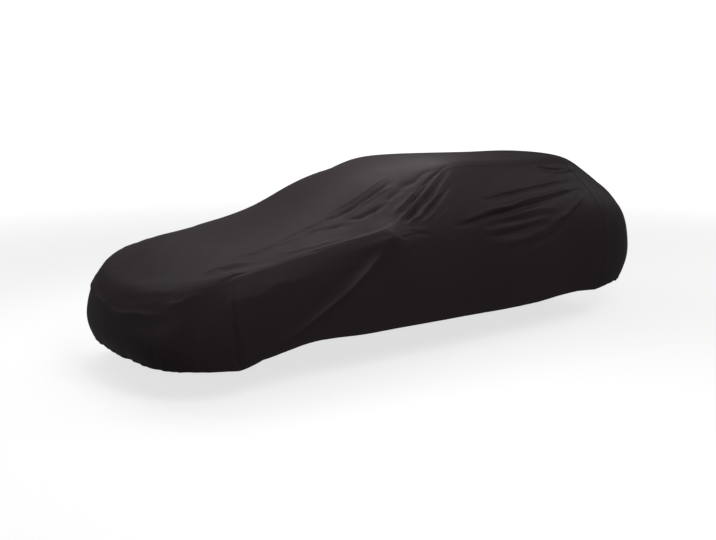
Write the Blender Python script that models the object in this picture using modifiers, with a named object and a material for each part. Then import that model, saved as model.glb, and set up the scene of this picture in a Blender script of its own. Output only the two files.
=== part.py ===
"""Fitted car cover, draped as on a small hatchback.

Three cloth panels: one over the nose, bonnet, windscreen, roof and tailgate,
and one down each side. Every panel is the inner face of the cloth as an open
surface, thickened outwards by Solidify.

Tables are in the ground frame: X forward from the middle of the wheelbase, Y to
the left, Z up from the ground. The finished panels are moved so that the origin
lies on the inner face at the top of the roof.
"""

from collections import namedtuple

import bmesh
import bpy
import numpy as np

# Cloth
THICKNESS = 0.002
SEAM_GAP = 0.0004
CLOTH_COLOUR = (0.022, 0.018, 0.019, 1.0)
CLOTH_ROUGHNESS = 0.62

# Where the top of the roof rests on what holds the cover up, ahead of the middle
MOUNT_X = -0.30

# Ring rows of the draped form, from the centre line out and down to the hem
RINGS = ("spine", "inner", "outer", "seam", "glass", "belt", "side", "low", "hem")
SEAM_ROW = RINGS.index("seam")
BELT_ROW = RINGS.index("belt")
LIFT_ROW = RINGS.index("side")
HEM_ROW = RINGS.index("hem")
INNER_SHARE = 0.42
OUTER_SHARE = 0.80
GLASS_BOW = 0.05

# Angles of the columns round each end, from the centre line to the side
END_ANGLES = (0.0, 20.0, 40.0, 58.0, 78.0)

# Spans of the grid between one control column or row and the next
NOSE_SPANS = (2, 2, 2, 2)
SIDE_SPANS = (3, 4, 4, 5, 5, 5, 5, 5, 5, 5, 4)
TAIL_SPANS = (2, 2, 2, 2)
TOP_SPANS = (2, 2, 3)
WALL_SPANS = (4, 5, 4, 3, 2)

# How far the grid leans, so that its lines run along the long creases: columns lean
# forward below the belt, and rows lean upward between the seam and the hem
Lean = namedtuple("Lean", "place shift")
COLUMN_LEANS = (Lean(4.0, 0.0), Lean(8.0, 3.0), Lean(15.0, 0.0))
ROW_LEANS = (Lean(10.5, 0.0), Lean(14.3, 0.75), Lean(15.0, 0.75), Lean(19.0, 0.0))

Station = namedtuple("Station", "x top crown seam_y seam_z belt_y belt_z side_y hem_y hem_z")
STATIONS = (
    Station(1.55, 0.928, 2.7, 0.766, 0.763, 0.821, 0.728, 0.855, 0.835, 0.228),
    Station(1.20, 0.968, 2.5, 0.782, 0.847, 0.839, 0.789, 0.865, 0.848, 0.327),
    Station(0.88, 1.042, 2.6, 0.793, 0.889, 0.850, 0.837, 0.870, 0.856, 0.291),
    Station(0.60, 1.193, 3.1, 0.804, 0.908, 0.856, 0.878, 0.872, 0.857, 0.295),
    Station(0.36, 1.298, 3.2, 0.747, 1.012, 0.856, 0.902, 0.872, 0.857, 0.291),
    Station(0.14, 1.339, 2.8, 0.632, 1.195, 0.850, 0.931, 0.872, 0.857, 0.286),
    Station(-0.08, 1.370, 2.6, 0.551, 1.346, 0.846, 0.952, 0.872, 0.858, 0.281),
    Station(-0.45, 1.386, 2.3, 0.566, 1.360, 0.844, 0.954, 0.872, 0.858, 0.271),
    Station(-0.85, 1.384, 2.3, 0.584, 1.337, 0.843, 0.955, 0.870, 0.855, 0.272),
    Station(-1.22, 1.376, 2.4, 0.583, 1.339, 0.841, 0.946, 0.864, 0.849, 0.288),
)

# Centre line of each ring at the nose and at the tail, and how square its corner is
End = namedtuple("End", "ring x z square")
NOSE = (
    End("spine", 1.697, 0.879, 1.9),
    End("inner", 1.814, 0.822, 2.0),
    End("outer", 1.930, 0.747, 2.3),
    End("seam", 2.025, 0.693, 3.1),
    End("glass", 2.069, 0.670, 2.8),
    End("belt", 2.137, 0.628, 2.6),
    End("side", 2.218, 0.486, 2.8),
    End("low", 2.236, 0.321, 3.0),
    End("hem", 2.173, 0.207, 3.2),
)
TAIL = (
    End("spine", -1.400, 1.384, 2.0),
    End("inner", -1.525, 1.378, 2.7),
    End("outer", -1.650, 1.375, 3.3),
    End("seam", -1.761, 1.314, 3.5),
    End("glass", -2.061, 1.103, 3.3),
    End("belt", -2.344, 0.881, 3.7),
    End("side", -2.407, 0.662, 3.7),
    End("low", -2.411, 0.445, 4.0),
    End("hem", -2.332, 0.291, 3.4),
)

# Height added to the hem, between the side and hem rings, at places along the car
HemLift = namedtuple("HemLift", "x left right")
HEM_LIFTS = (
    HemLift(2.30, 0.000, 0.004),
    HemLift(2.00, 0.007, -0.004),
    HemLift(1.80, -0.008, -0.010),
    HemLift(1.73, -0.018, -0.012),
    HemLift(1.66, -0.006, 0.002),
    HemLift(1.57, 0.014, 0.010),
    HemLift(1.40, 0.010, 0.012),
    HemLift(1.10, 0.000, 0.004),
    HemLift(0.40, -0.003, 0.003),
    HemLift(-0.30, 0.002, -0.005),
    HemLift(-0.90, 0.000, 0.002),
    HemLift(-1.10, 0.008, 0.006),
    HemLift(-1.36, 0.009, 0.010),
    HemLift(-1.60, -0.012, -0.008),
    HemLift(-1.90, 0.008, 0.004),
    HemLift(-2.40, 0.000, 0.000),
)

# The tent that each door mirror pushes out: tip, reach and how round the tip is
MIRROR_PLACE = (0.60, 0.835, 0.925)
MIRROR_PUSH = (0.0, 0.070, 0.030)
MIRROR_REACH = 0.135
MIRROR_ROUND = 0.035

# The raised line where the seam pulls along the bonnet edge, and the fall just below it
SEAM_RIDGE = 0.007
SEAM_RIDGE_WIDTH = 0.022
SEAM_STEP = 0.010
SEAM_STEP_AT = 0.040
SEAM_STEP_WIDTH = 0.022

# Creases: a curve through three places, half width, and height out (+) or in (-)
Fold = namedtuple("Fold", "name start middle end width height")
LEFT_FOLDS = (
    Fold("crest_double", (1.85, 0.60, 0.76), (1.71, 0.66, 0.79), (1.52, 0.66, 0.82), 0.026, 0.007),
    Fold("bonnet_valley", (1.48, 0.68, 0.82), (0.97, 0.58, 0.95), (0.69, 0.56, 1.04), 0.045, -0.006),
    Fold("fender_roll", (1.72, 0.80, 0.70), (1.29, 0.82, 0.78), (0.74, 0.84, 0.86), 0.060, 0.008),
    Fold("bumper_crest", (2.19, 0.05, 0.51), (2.11, 0.48, 0.57), (2.03, 0.59, 0.63), 0.045, 0.009),
    Fold("bumper_crest_rise", (2.03, 0.59, 0.63), (1.91, 0.71, 0.68), (1.71, 0.79, 0.71), 0.045, 0.007),
    Fold("corner_gather", (1.76, 0.79, 0.69), (1.77, 0.82, 0.50), (1.77, 0.82, 0.28), 0.022, 0.007),
    Fold("corner_crease", (1.73, 0.81, 0.64), (1.74, 0.83, 0.44), (1.73, 0.82, 0.23), 0.018, -0.006),
    Fold("pull_ridge", (0.64, 0.85, 0.83), (0.94, 0.86, 0.62), (1.41, 0.84, 0.34), 0.026, 0.013),
    Fold("pull_trough", (0.57, 0.86, 0.75), (0.84, 0.87, 0.59), (1.23, 0.85, 0.36), 0.045, -0.009),
    Fold("pull_upper_trough", (0.69, 0.85, 0.84), (0.98, 0.86, 0.67), (1.32, 0.85, 0.48), 0.045, -0.007),
    Fold("screen_crease_low", (0.88, 0.47, 1.00), (0.70, 0.50, 1.06), (0.32, 0.46, 1.22), 0.022, -0.009),
    Fold("screen_crease_high", (0.72, 0.60, 1.02), (0.58, 0.63, 1.05), (0.39, 0.61, 1.12), 0.022, -0.008),
    Fold("screen_ridge", (0.83, 0.55, 1.00), (0.62, 0.53, 1.08), (0.44, 0.54, 1.14), 0.022, 0.006),
    Fold("pillar_hollow", (0.43, 0.60, 1.12), (0.25, 0.55, 1.19), (-0.04, 0.54, 1.30), 0.042, -0.010),
    Fold("pillar_ridge_front", (0.44, 0.68, 1.06), (0.26, 0.64, 1.14), (0.06, 0.60, 1.24), 0.024, 0.007),
    Fold("pillar_ridge_main", (0.41, 0.72, 1.03), (0.17, 0.67, 1.14), (-0.14, 0.57, 1.30), 0.026, 0.013),
    Fold("pillar_crease_main", (0.42, 0.75, 1.00), (0.25, 0.72, 1.08), (0.03, 0.66, 1.19), 0.022, -0.011),
    Fold("pillar_ridge_rear", (0.37, 0.78, 0.98), (0.15, 0.73, 1.09), (-0.15, 0.63, 1.26), 0.024, 0.009),
    Fold("pillar_crease_rear", (0.29, 0.80, 0.98), (0.09, 0.75, 1.08), (-0.15, 0.67, 1.21), 0.024, -0.007),
    Fold("window_ridge", (0.23, 0.80, 0.98), (0.10, 0.78, 1.03), (-0.07, 0.76, 1.09), 0.026, 0.005),
    Fold("mirror_crease_low", (0.53, 0.83, 0.91), (0.44, 0.84, 0.89), (0.26, 0.84, 0.90), 0.022, -0.007),
    Fold("quarter_ridge_main", (-0.13, 0.81, 1.00), (-0.62, 0.77, 1.08), (-1.34, 0.72, 1.15), 0.034, 0.016),
    Fold("quarter_trough_main", (0.02, 0.82, 0.97), (-0.61, 0.80, 1.02), (-1.40, 0.75, 1.10), 0.032, -0.017),
    Fold("quarter_trough_high", (-0.51, 0.74, 1.12), (-0.89, 0.72, 1.16), (-1.41, 0.68, 1.20), 0.034, -0.012),
    Fold("quarter_ridge_high", (-0.81, 0.69, 1.21), (-1.12, 0.66, 1.23), (-1.55, 0.61, 1.26), 0.034, 0.006),
    Fold("quarter_trough_top", (-1.11, 0.61, 1.30), (-1.20, 0.64, 1.26), (-1.40, 0.63, 1.26), 0.026, -0.009),
    Fold("quarter_ridge_low", (-0.35, 0.82, 0.96), (-0.70, 0.82, 0.97), (-1.24, 0.79, 1.03), 0.030, 0.008),
    Fold("quarter_trough_low", (-0.31, 0.85, 0.86), (-0.60, 0.85, 0.87), (-0.94, 0.83, 0.92), 0.030, -0.009),
    Fold("quarter_bend_ridge", (-0.49, 0.86, 0.80), (-0.94, 0.85, 0.86), (-1.27, 0.81, 0.98), 0.032, 0.014),
    Fold("quarter_bend_trough", (-0.43, 0.86, 0.75), (-0.96, 0.85, 0.80), (-1.27, 0.83, 0.92), 0.036, -0.010),
)
RIGHT_FOLDS = (
    Fold("pull_ridge", (0.62, 0.85, 0.82), (0.90, 0.86, 0.60), (1.22, 0.85, 0.36), 0.040, 0.012),
    Fold("pull_trough", (0.52, 0.86, 0.74), (0.74, 0.87, 0.56), (1.00, 0.86, 0.37), 0.050, -0.009),
    Fold("pillar_ridge", (0.38, 0.74, 1.02), (0.16, 0.70, 1.12), (-0.12, 0.60, 1.28), 0.040, 0.011),
    Fold("pillar_trough", (0.30, 0.79, 0.99), (0.08, 0.75, 1.09), (-0.16, 0.68, 1.20), 0.040, -0.009),
    Fold("quarter_ridge", (-0.40, 0.81, 0.98), (-0.85, 0.76, 1.08), (-1.40, 0.70, 1.16), 0.050, 0.013),
    Fold("quarter_trough", (-0.30, 0.84, 0.90), (-0.85, 0.82, 0.97), (-1.38, 0.76, 1.08), 0.050, -0.012),
    Fold("quarter_low", (-0.70, 0.85, 0.80), (-1.05, 0.84, 0.86), (-1.36, 0.80, 0.99), 0.050, 0.010),
    Fold("bumper_crest", (2.19, 0.05, 0.51), (2.11, 0.48, 0.57), (2.03, 0.59, 0.63), 0.050, 0.008),
)


def station_rings(station):
    """Points of one cross-section, one per ring, from the centre line to the hem."""
    drop = station.top - station.seam_z
    inner_z = station.top - drop * INNER_SHARE**station.crown
    outer_z = station.top - drop * OUTER_SHARE**station.crown
    rise = station.seam_z - station.belt_z
    glass_y = 0.5 * (station.seam_y + station.belt_y) + GLASS_BOW * rise
    glass_z = 0.5 * (station.seam_z + station.belt_z) + 0.5 * GLASS_BOW * rise
    side_z = 0.58 * station.belt_z + 0.42 * station.hem_z
    low_y = 0.4 * station.side_y + 0.6 * station.hem_y
    low_z = 0.27 * station.belt_z + 0.73 * station.hem_z
    return (
        (station.x, 0.0, station.top),
        (station.x, INNER_SHARE * station.seam_y, inner_z),
        (station.x, OUTER_SHARE * station.seam_y, outer_z),
        (station.x, station.seam_y, station.seam_z),
        (station.x, glass_y, glass_z),
        (station.x, station.belt_y, station.belt_z),
        (station.x, station.side_y, side_z),
        (station.x, low_y, low_z),
        (station.x, station.hem_y, station.hem_z),
    )


def end_rings(angle, ends, first):
    """Points of one column round the nose or tail, one per ring."""
    points = []
    for end, start in zip(ends, first):
        forward = np.cos(np.radians(angle)) ** (2.0 / end.square)
        outward = np.sin(np.radians(angle)) ** (2.0 / end.square)
        x = start[0] + (end.x - start[0]) * forward
        y = start[1] * outward
        z = end.z + (start[2] - end.z) * np.sin(np.radians(angle)) ** 2
        points.append((x, y, z))
    return points


def control_net():
    """Control points of the left half: columns from nose to tail, a row per ring."""
    sides = [station_rings(station) for station in STATIONS]
    columns = [end_rings(angle, NOSE, sides[0]) for angle in END_ANGLES]
    columns += sides
    columns += [end_rings(angle, TAIL, sides[-1]) for angle in reversed(END_ANGLES)]
    return np.array(columns)


def spline_weights(places, count, first_sign, last_sign, slope=False):
    """Weights of a uniform cubic B-spline at the given places, as a matrix.

    A sign of 1 or -1 reflects the control points at that end, for the even and
    the odd coordinates of a mirrored form. A sign of 0 makes the curve end on
    its last point.
    """
    weights = np.zeros((len(places), count + 2))
    start = np.clip(np.floor(places).astype(int), 0, count - 2)
    s = places - start
    if slope:
        basis = (
            -0.5 * (1.0 - s) ** 2,
            1.5 * s**2 - 2.0 * s,
            -1.5 * s**2 + s + 0.5,
            0.5 * s**2,
        )
    else:
        basis = (
            (1.0 - s) ** 3 / 6.0,
            (3.0 * s**3 - 6.0 * s**2 + 4.0) / 6.0,
            (-3.0 * s**3 + 3.0 * s**2 + 3.0 * s + 1.0) / 6.0,
            s**3 / 6.0,
        )
    rows = np.arange(len(places))
    for offset, share in enumerate(basis):
        weights[rows, start + offset] += share
    inside = weights[:, 1:-1].copy()
    before = weights[:, 0]
    after = weights[:, -1]
    if first_sign:
        inside[:, 1] += first_sign * before
    else:
        inside[:, 0] += 2.0 * before
        inside[:, 1] -= before
    if last_sign:
        inside[:, -2] += last_sign * after
    else:
        inside[:, -1] += 2.0 * after
        inside[:, -2] -= after
    return inside


def grid_places(spans):
    """Places along a row or column of the net, with the given spans in each step."""
    places = [0.0]
    for step, count in enumerate(spans):
        places += [step + (k + 1) / count for k in range(count)]
    return np.array(places)


def lean_at(places, leans):
    """How far the grid leans at each place, between the rows of its table."""
    return np.interp(places, [lean.place for lean in leans], [lean.shift for lean in leans])


def leaning_grid(columns, rows):
    """Column and row place of each grid point, leaning along the long creases."""
    u, v = np.meshgrid(columns, rows, indexing="ij")
    below = np.clip((v - BELT_ROW) / (HEM_ROW - BELT_ROW), 0.0, 1.0)
    among = np.interp(v, (SEAM_ROW, BELT_ROW, HEM_ROW), (0.0, 1.0, 0.0))
    return u - lean_at(u, COLUMN_LEANS) * below, v - lean_at(u, ROW_LEANS) * among


def smooth_form(u, v, net):
    """Points and outward normals of the left half before any crease."""
    column_count, row_count = net.shape[:2]
    shape = u.shape
    places = (u.ravel(), v.ravel())
    parts = []
    for axis in range(3):
        sign = -1 if axis == 1 else 1
        for steep_u, steep_v in ((False, False), (True, False), (False, True)):
            across = spline_weights(places[0], column_count, sign, sign, steep_u)
            down = spline_weights(places[1], row_count, sign, 0, steep_v)
            parts.append(np.einsum("pa,ab,pb->p", across, net[..., axis], down, optimize=True))
    parts = np.array(parts).reshape(3, 3, -1)
    points = parts[:, 0].T.reshape(*shape, 3)
    normals = np.cross(parts[:, 2].T, parts[:, 1].T)
    normals /= np.maximum(np.linalg.norm(normals, axis=1, keepdims=True), 1e-9)
    normals = normals.reshape(*shape, 3)
    # The two ends of the spine have no normal of their own
    normals[0, 0] = normals[1, 0]
    normals[-1, 0] = normals[-2, 0]
    return points, normals


def fold_height(points, fold, steps=24):
    """How far one crease moves each point, fading out at both ends of its curve."""
    s = np.linspace(0.0, 1.0, steps)[:, None]
    start, middle, end = (np.array(place) for place in (fold.start, fold.middle, fold.end))
    control = 2.0 * middle - 0.5 * (start + end)
    curve = (1.0 - s) ** 2 * start + 2.0 * s * (1.0 - s) * control + s**2 * end
    nearest = np.full(points.shape[:2], np.inf)
    place = np.zeros(points.shape[:2])
    for k in range(steps - 1):
        run = curve[k + 1] - curve[k]
        t = np.clip(((points - curve[k]) @ run) / (run @ run), 0.0, 1.0)
        gap = np.linalg.norm(points - curve[k] - t[..., None] * run, axis=2)
        closer = gap < nearest
        nearest = np.where(closer, gap, nearest)
        place = np.where(closer, (k + t) / (steps - 1), place)
    fade = np.sin(np.pi * np.clip(0.04 + 0.92 * place, 0.0, 1.0)) ** 0.7
    return fold.height * fade * np.exp(-((nearest / fold.width) ** 2))


def seam_height(points, rows):
    """The seam's own ridge along the bonnet edge, and the fall below it."""
    seam = int(np.argmin(np.abs(rows - SEAM_ROW)))
    gap = np.linalg.norm(points - points[:, seam : seam + 1], axis=2)
    gap *= np.sign(rows - SEAM_ROW)
    front = points[:, seam : seam + 1, 0]
    share = np.clip((front - 0.35) / 0.5, 0.0, 1.0) * np.clip((2.05 - front) / 0.25, 0.0, 1.0)
    ridge = SEAM_RIDGE * np.exp(-((gap / SEAM_RIDGE_WIDTH) ** 2))
    step = SEAM_STEP * np.exp(-(((gap - SEAM_STEP_AT) / SEAM_STEP_WIDTH) ** 2))
    return share * (ridge - step)


def draped_half(columns, rows, net, folds, lift):
    """Points of one half of the cover as it hangs, on the left side."""
    u, v = leaning_grid(columns, rows)
    smooth, normals = smooth_form(u, v, net)
    height = seam_height(smooth, rows)
    for fold in folds:
        height = height + fold_height(smooth, fold)
    points = smooth + normals * height[..., None]
    reach = np.linalg.norm(smooth - np.array(MIRROR_PLACE), axis=2)
    tent = np.exp((MIRROR_ROUND - np.hypot(reach, MIRROR_ROUND)) / MIRROR_REACH)
    points += tent[..., None] * np.array(MIRROR_PUSH)
    low = np.clip((v - LIFT_ROW) / (HEM_ROW - LIFT_ROW), 0.0, 1.0)
    places = [row.x for row in reversed(HEM_LIFTS)]
    lifts = [getattr(row, lift) for row in reversed(HEM_LIFTS)]
    points[..., 2] += np.interp(smooth[..., 0], places, lifts) * low**2
    # The centre line stays in the middle plane
    points[:, 0, 1] = 0.0
    points[0, :, 1] = 0.0
    points[-1, :, 1] = 0.0
    return points


def shared_middle(left, right):
    """Both halves with their centre lines laid on the same points."""
    for edge in ((slice(None), 0), (0, slice(None)), (-1, slice(None))):
        middle = 0.5 * (left[edge] + right[edge])
        left[edge] = middle
        right[edge] = middle
    return left, right


def drawn_from_seam(points, inward, front, rear, seam):
    """Points of one panel, with its seam edges drawn back by half the seam gap.

    Inward is 1 for a side panel, whose cells lie below the seam row and between
    the two seam columns, and -1 for the top panel, whose cells lie outside them.
    """
    edges = (
        ((slice(front, rear + 1), seam), np.roll(points, -inward, axis=1)),
        ((front, slice(seam, None)), np.roll(points, -inward, axis=0)),
        ((rear, slice(seam, None)), np.roll(points, inward, axis=0)),
    )
    moved = points.copy()
    for edge, within in edges:
        run = within[edge] - points[edge]
        length = np.linalg.norm(run, axis=-1, keepdims=True)
        moved[edge] += 0.5 * SEAM_GAP * run / length
    return moved


def cell_faces(cells, first, mirrored):
    """Quads of the chosen grid cells, and triangles where a cell closes on the spine."""
    faces = []
    columns, rows = cells.shape
    for i in range(columns):
        for j in range(rows):
            if not cells[i, j]:
                continue
            a = first + i * (rows + 1) + j
            b = a + rows + 1
            if (i, j) == (0, 0):
                shapes = ((a, a + 1, b + 1), (a, b + 1, b))
            elif (i, j) == (columns - 1, 0):
                shapes = ((b, a, a + 1), (b, a + 1, b + 1))
            else:
                shapes = ((a, a + 1, b + 1, b),)
            faces += [shape if not mirrored else shape[::-1] for shape in shapes]
    return faces


def panel(name, halves, cells, collection, material):
    """One cloth panel: an open sheet from one or both halves, thickened outwards."""
    vertices = []
    faces = []
    for points, mirrored in halves:
        placed = points * (1.0, -1.0, 1.0) if mirrored else points
        faces += cell_faces(cells, len(vertices), mirrored)
        vertices += [tuple(point) for point in placed.reshape(-1, 3)]
    form = bmesh.new()
    corners = [form.verts.new(vertex) for vertex in vertices]
    for face in faces:
        form.faces.new([corners[k] for k in face])
    loose = [corner for corner in corners if not corner.link_faces]
    bmesh.ops.delete(form, geom=loose, context="VERTS")
    bmesh.ops.remove_doubles(form, verts=form.verts, dist=0.00001)
    mesh = bpy.data.meshes.new(name)
    form.to_mesh(mesh)
    form.free()
    mesh.materials.append(material)
    mesh.shade_smooth()
    sheet = bpy.data.objects.new(name, mesh)
    collection.objects.link(sheet)
    shell = sheet.modifiers.new("cloth", "SOLIDIFY")
    shell.thickness = THICKNESS
    shell.offset = 1.0
    shell.use_rim = True
    return sheet


def cloth_material(name, tone):
    """Matt near-black woven cloth."""
    material = bpy.data.materials.new(name)
    material.use_nodes = True
    shader = material.node_tree.nodes["Principled BSDF"]
    colour = [tone * part for part in CLOTH_COLOUR[:3]] + [1.0]
    shader.inputs["Base Color"].default_value = colour
    shader.inputs["Roughness"].default_value = CLOTH_ROUGHNESS
    shader.inputs["Metallic"].default_value = 0.0
    return material


def clear_scene():
    for thing in list(bpy.data.objects):
        bpy.data.objects.remove(thing, do_unlink=True)


def main():
    clear_scene()
    collection = bpy.data.collections.new("car_cover")
    bpy.context.scene.collection.children.link(collection)
    net = control_net()
    columns = grid_places(NOSE_SPANS + SIDE_SPANS + TAIL_SPANS)
    rows = grid_places(TOP_SPANS + WALL_SPANS)
    left = draped_half(columns, rows, net, LEFT_FOLDS, "left")
    right = draped_half(columns, rows, net, RIGHT_FOLDS, "right")
    left, right = shared_middle(left, right)
    roof = int(np.argmin(np.abs(left[:, 0, 0] - MOUNT_X)))
    origin = left[roof, 0].copy()
    left -= origin
    right -= origin
    front = sum(NOSE_SPANS)
    rear = front + sum(SIDE_SPANS)
    seam = sum(TOP_SPANS)
    side_cells = np.zeros((len(columns) - 1, len(rows) - 1), bool)
    side_cells[front:rear, seam:] = True
    top_cells = ~side_cells
    top_left = drawn_from_seam(left, -1, front, rear, seam)
    top_right = drawn_from_seam(right, -1, front, rear, seam)
    side_left = drawn_from_seam(left, 1, front, rear, seam)
    side_right = drawn_from_seam(right, 1, front, rear, seam)
    middle = cloth_material("cloth_middle", 1.0)
    sides = cloth_material("cloth_sides", 0.94)
    panel("panel_top", ((top_left, False), (top_right, True)), top_cells, collection, middle)
    panel("panel_side_left", ((side_left, False),), side_cells, collection, sides)
    panel("panel_side_right", ((side_right, True),), side_cells, collection, sides)


if __name__ == "__main__":
    main()
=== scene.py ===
"""Looks of a fitted car cover: three sewn panels of thin satin cloth as they hang.

The middle panel runs over the nose, bonnet, windscreen, roof and tail, and a
panel hangs down each side. The side panels are lapped under the middle one and
joined by two rows of stitches, and the hem is turned up and stitched once.

Tables are in the ground frame: X forward, Y to the left and Z up from the
ground. Finished pieces are moved so that COVER_ORIGIN, under the top of the
roof, becomes the origin, as it is in the frame of the solids.
"""

from __future__ import annotations

import logging
from dataclasses import dataclass, field
from enum import Enum
from typing import NamedTuple, Union

import bpy
import numpy as np
from mathutils import Euler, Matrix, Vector


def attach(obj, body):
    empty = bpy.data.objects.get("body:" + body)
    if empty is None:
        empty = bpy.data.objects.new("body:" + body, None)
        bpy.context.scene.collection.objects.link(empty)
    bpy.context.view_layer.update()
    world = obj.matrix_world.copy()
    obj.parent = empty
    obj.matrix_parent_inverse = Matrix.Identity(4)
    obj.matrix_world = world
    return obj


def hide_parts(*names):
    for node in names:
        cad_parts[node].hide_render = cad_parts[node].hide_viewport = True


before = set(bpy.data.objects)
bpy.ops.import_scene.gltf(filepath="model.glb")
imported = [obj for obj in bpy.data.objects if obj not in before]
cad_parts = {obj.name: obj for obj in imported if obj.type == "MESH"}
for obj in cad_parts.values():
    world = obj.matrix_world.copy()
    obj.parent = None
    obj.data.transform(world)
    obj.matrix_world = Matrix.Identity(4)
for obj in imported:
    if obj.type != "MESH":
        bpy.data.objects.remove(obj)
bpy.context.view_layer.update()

LOG = logging.getLogger("car_cover")
BODY = "root"

# The inner face at the top of the roof, in the ground frame
COVER_ORIGIN = (-0.3046, 0.0, 1.3786)

Place = tuple[float, float, float]
Colour = tuple[float, float, float]

# What a node's socket can be given: a link from another socket, or a value
Feed = Union[bpy.types.NodeSocket, float, tuple[float, ...]]


class Side(Enum):
    """The two halves of the cover, and the sign of their Y."""

    LEFT = 1
    RIGHT = -1

    @property
    def sign(self) -> float:
        """1 on the left and -1 on the right."""
        return float(self.value)


class Ring(Enum):
    """Lines that run round the cover, from the centre line down to the hem."""

    SPINE = 0
    INNER = 1
    OUTER = 2
    SEAM = 3
    GLASS = 4
    BELT = 5
    SIDE = 6
    LOW = 7
    HEM = 8


class Station(NamedTuple):
    """Sizes of one cross-section of the left half.

    Attributes:
        x: Place of the section.
        top: Height of the centre line.
        crown: Power by which the top falls to the seam; a high one is flat and then steep.
        seam_y: Width out to the long seam.
        seam_z: Height of the long seam.
        belt_y: Width at the belt, where the leaning upper side meets the upright one.
        belt_z: Height of the belt.
        side_y: Width part of the way down the side.
        hem_y: Width at the hem.
        hem_z: Height of the hem.
    """

    x: float
    top: float
    crown: float
    seam_y: float
    seam_z: float
    belt_y: float
    belt_z: float
    side_y: float
    hem_y: float
    hem_z: float


class End(NamedTuple):
    """Where a ring meets the centre line at one end, and how square its corner is.

    Attributes:
        ring: The ring.
        x: Place where it crosses the middle plane.
        z: Its height there.
        square: Power of its corner as seen from above; 2 is round, and more is squarer.
    """

    ring: Ring
    x: float
    z: float
    square: float


class Lean(NamedTuple):
    """How far the mesh leans at one place, so that its lines run along creases."""

    place: float
    shift: float


class HemLift(NamedTuple):
    """How far the hem rides up at one place along each side."""

    x: float
    left: float
    right: float


class Crease(NamedTuple):
    """A ridge or trough along a curve through three places.

    Attributes:
        name: What the table calls it.
        start: One end, where it fades out.
        middle: A place that the curve passes through.
        end: The other end.
        width: Distance over which it falls to about a third of its height.
        height: Height of its crest, below zero for a trough.
    """

    name: str
    start: Place
    middle: Place
    end: Place
    width: float
    height: float


class Crinkle(NamedTuple):
    """A patch of fine uneven creases that all run one way.

    Attributes:
        name: What the table calls it.
        centre: Middle of the patch.
        reach: Distance over which the creases fade to about a third.
        along: Which way they run.
        pitch: Distance from one to the next.
        height: About the height of the highest.
    """

    name: str
    centre: Place
    reach: float
    along: Place
    pitch: float
    height: float


class Hanging(NamedTuple):
    """A grid of cloth points with what the finishes need to know about them.

    Attributes:
        points: Places on the inner face.
        normals: Outward normals of the smooth form.
        cloth: Measures along and down the cloth, in metres.
        crest: How far each point stands up on a crease, from 0 to 1.
        hem: How much it belongs to the turned hem, from 0 to 1.
    """

    points: np.ndarray
    normals: np.ndarray
    cloth: np.ndarray
    crest: np.ndarray
    hem: np.ndarray


class Grain(NamedTuple):
    """A noise pattern: its repeats a metre, and the finer layers in it."""

    scale: float
    detail: float


# Cross-sections from behind the nose to before the tail
STATIONS = (
    Station(1.55, 0.928, 2.7, 0.766, 0.763, 0.821, 0.728, 0.855, 0.835, 0.228),
    Station(1.20, 0.968, 2.5, 0.785, 0.847, 0.834, 0.789, 0.865, 0.848, 0.327),
    Station(0.88, 1.042, 2.6, 0.801, 0.889, 0.834, 0.837, 0.870, 0.856, 0.291),
    Station(0.60, 1.193, 3.1, 0.810, 0.908, 0.840, 0.878, 0.872, 0.857, 0.295),
    Station(0.36, 1.298, 3.2, 0.747, 1.012, 0.850, 0.902, 0.872, 0.857, 0.291),
    Station(0.14, 1.339, 2.8, 0.632, 1.195, 0.850, 0.931, 0.872, 0.857, 0.286),
    Station(-0.08, 1.370, 2.6, 0.551, 1.346, 0.846, 0.952, 0.872, 0.858, 0.281),
    Station(-0.45, 1.386, 2.3, 0.566, 1.360, 0.844, 0.954, 0.872, 0.858, 0.271),
    Station(-0.85, 1.384, 2.3, 0.584, 1.337, 0.843, 0.955, 0.870, 0.855, 0.272),
    Station(-1.22, 1.376, 2.4, 0.583, 1.339, 0.841, 0.946, 0.864, 0.849, 0.288),
)

# The rings where they meet the middle plane at the nose
NOSE = (
    End(Ring.SPINE, 1.697, 0.879, 1.9),
    End(Ring.INNER, 1.814, 0.822, 2.0),
    End(Ring.OUTER, 1.930, 0.747, 2.3),
    End(Ring.SEAM, 2.025, 0.693, 3.1),
    End(Ring.GLASS, 2.069, 0.670, 2.8),
    End(Ring.BELT, 2.137, 0.628, 2.6),
    End(Ring.SIDE, 2.218, 0.486, 2.8),
    End(Ring.LOW, 2.236, 0.321, 3.0),
    End(Ring.HEM, 2.173, 0.207, 3.2),
)

# The same at the tail
TAIL = (
    End(Ring.SPINE, -1.400, 1.384, 2.0),
    End(Ring.INNER, -1.525, 1.378, 2.7),
    End(Ring.OUTER, -1.650, 1.375, 3.3),
    End(Ring.SEAM, -1.761, 1.314, 3.5),
    End(Ring.GLASS, -2.061, 1.103, 3.3),
    End(Ring.BELT, -2.344, 0.881, 3.7),
    End(Ring.SIDE, -2.407, 0.662, 3.7),
    End(Ring.LOW, -2.411, 0.445, 4.0),
    End(Ring.HEM, -2.332, 0.291, 3.4),
)

# How far columns lean forward below the belt, and rings upward about it, by column place
COLUMN_LEANS = (Lean(4.0, 0.0), Lean(8.0, 3.0), Lean(15.0, 0.0))
ROW_LEANS = (Lean(10.5, 0.0), Lean(14.3, 0.75), Lean(15.0, 0.75), Lean(19.0, 0.0))

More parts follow.
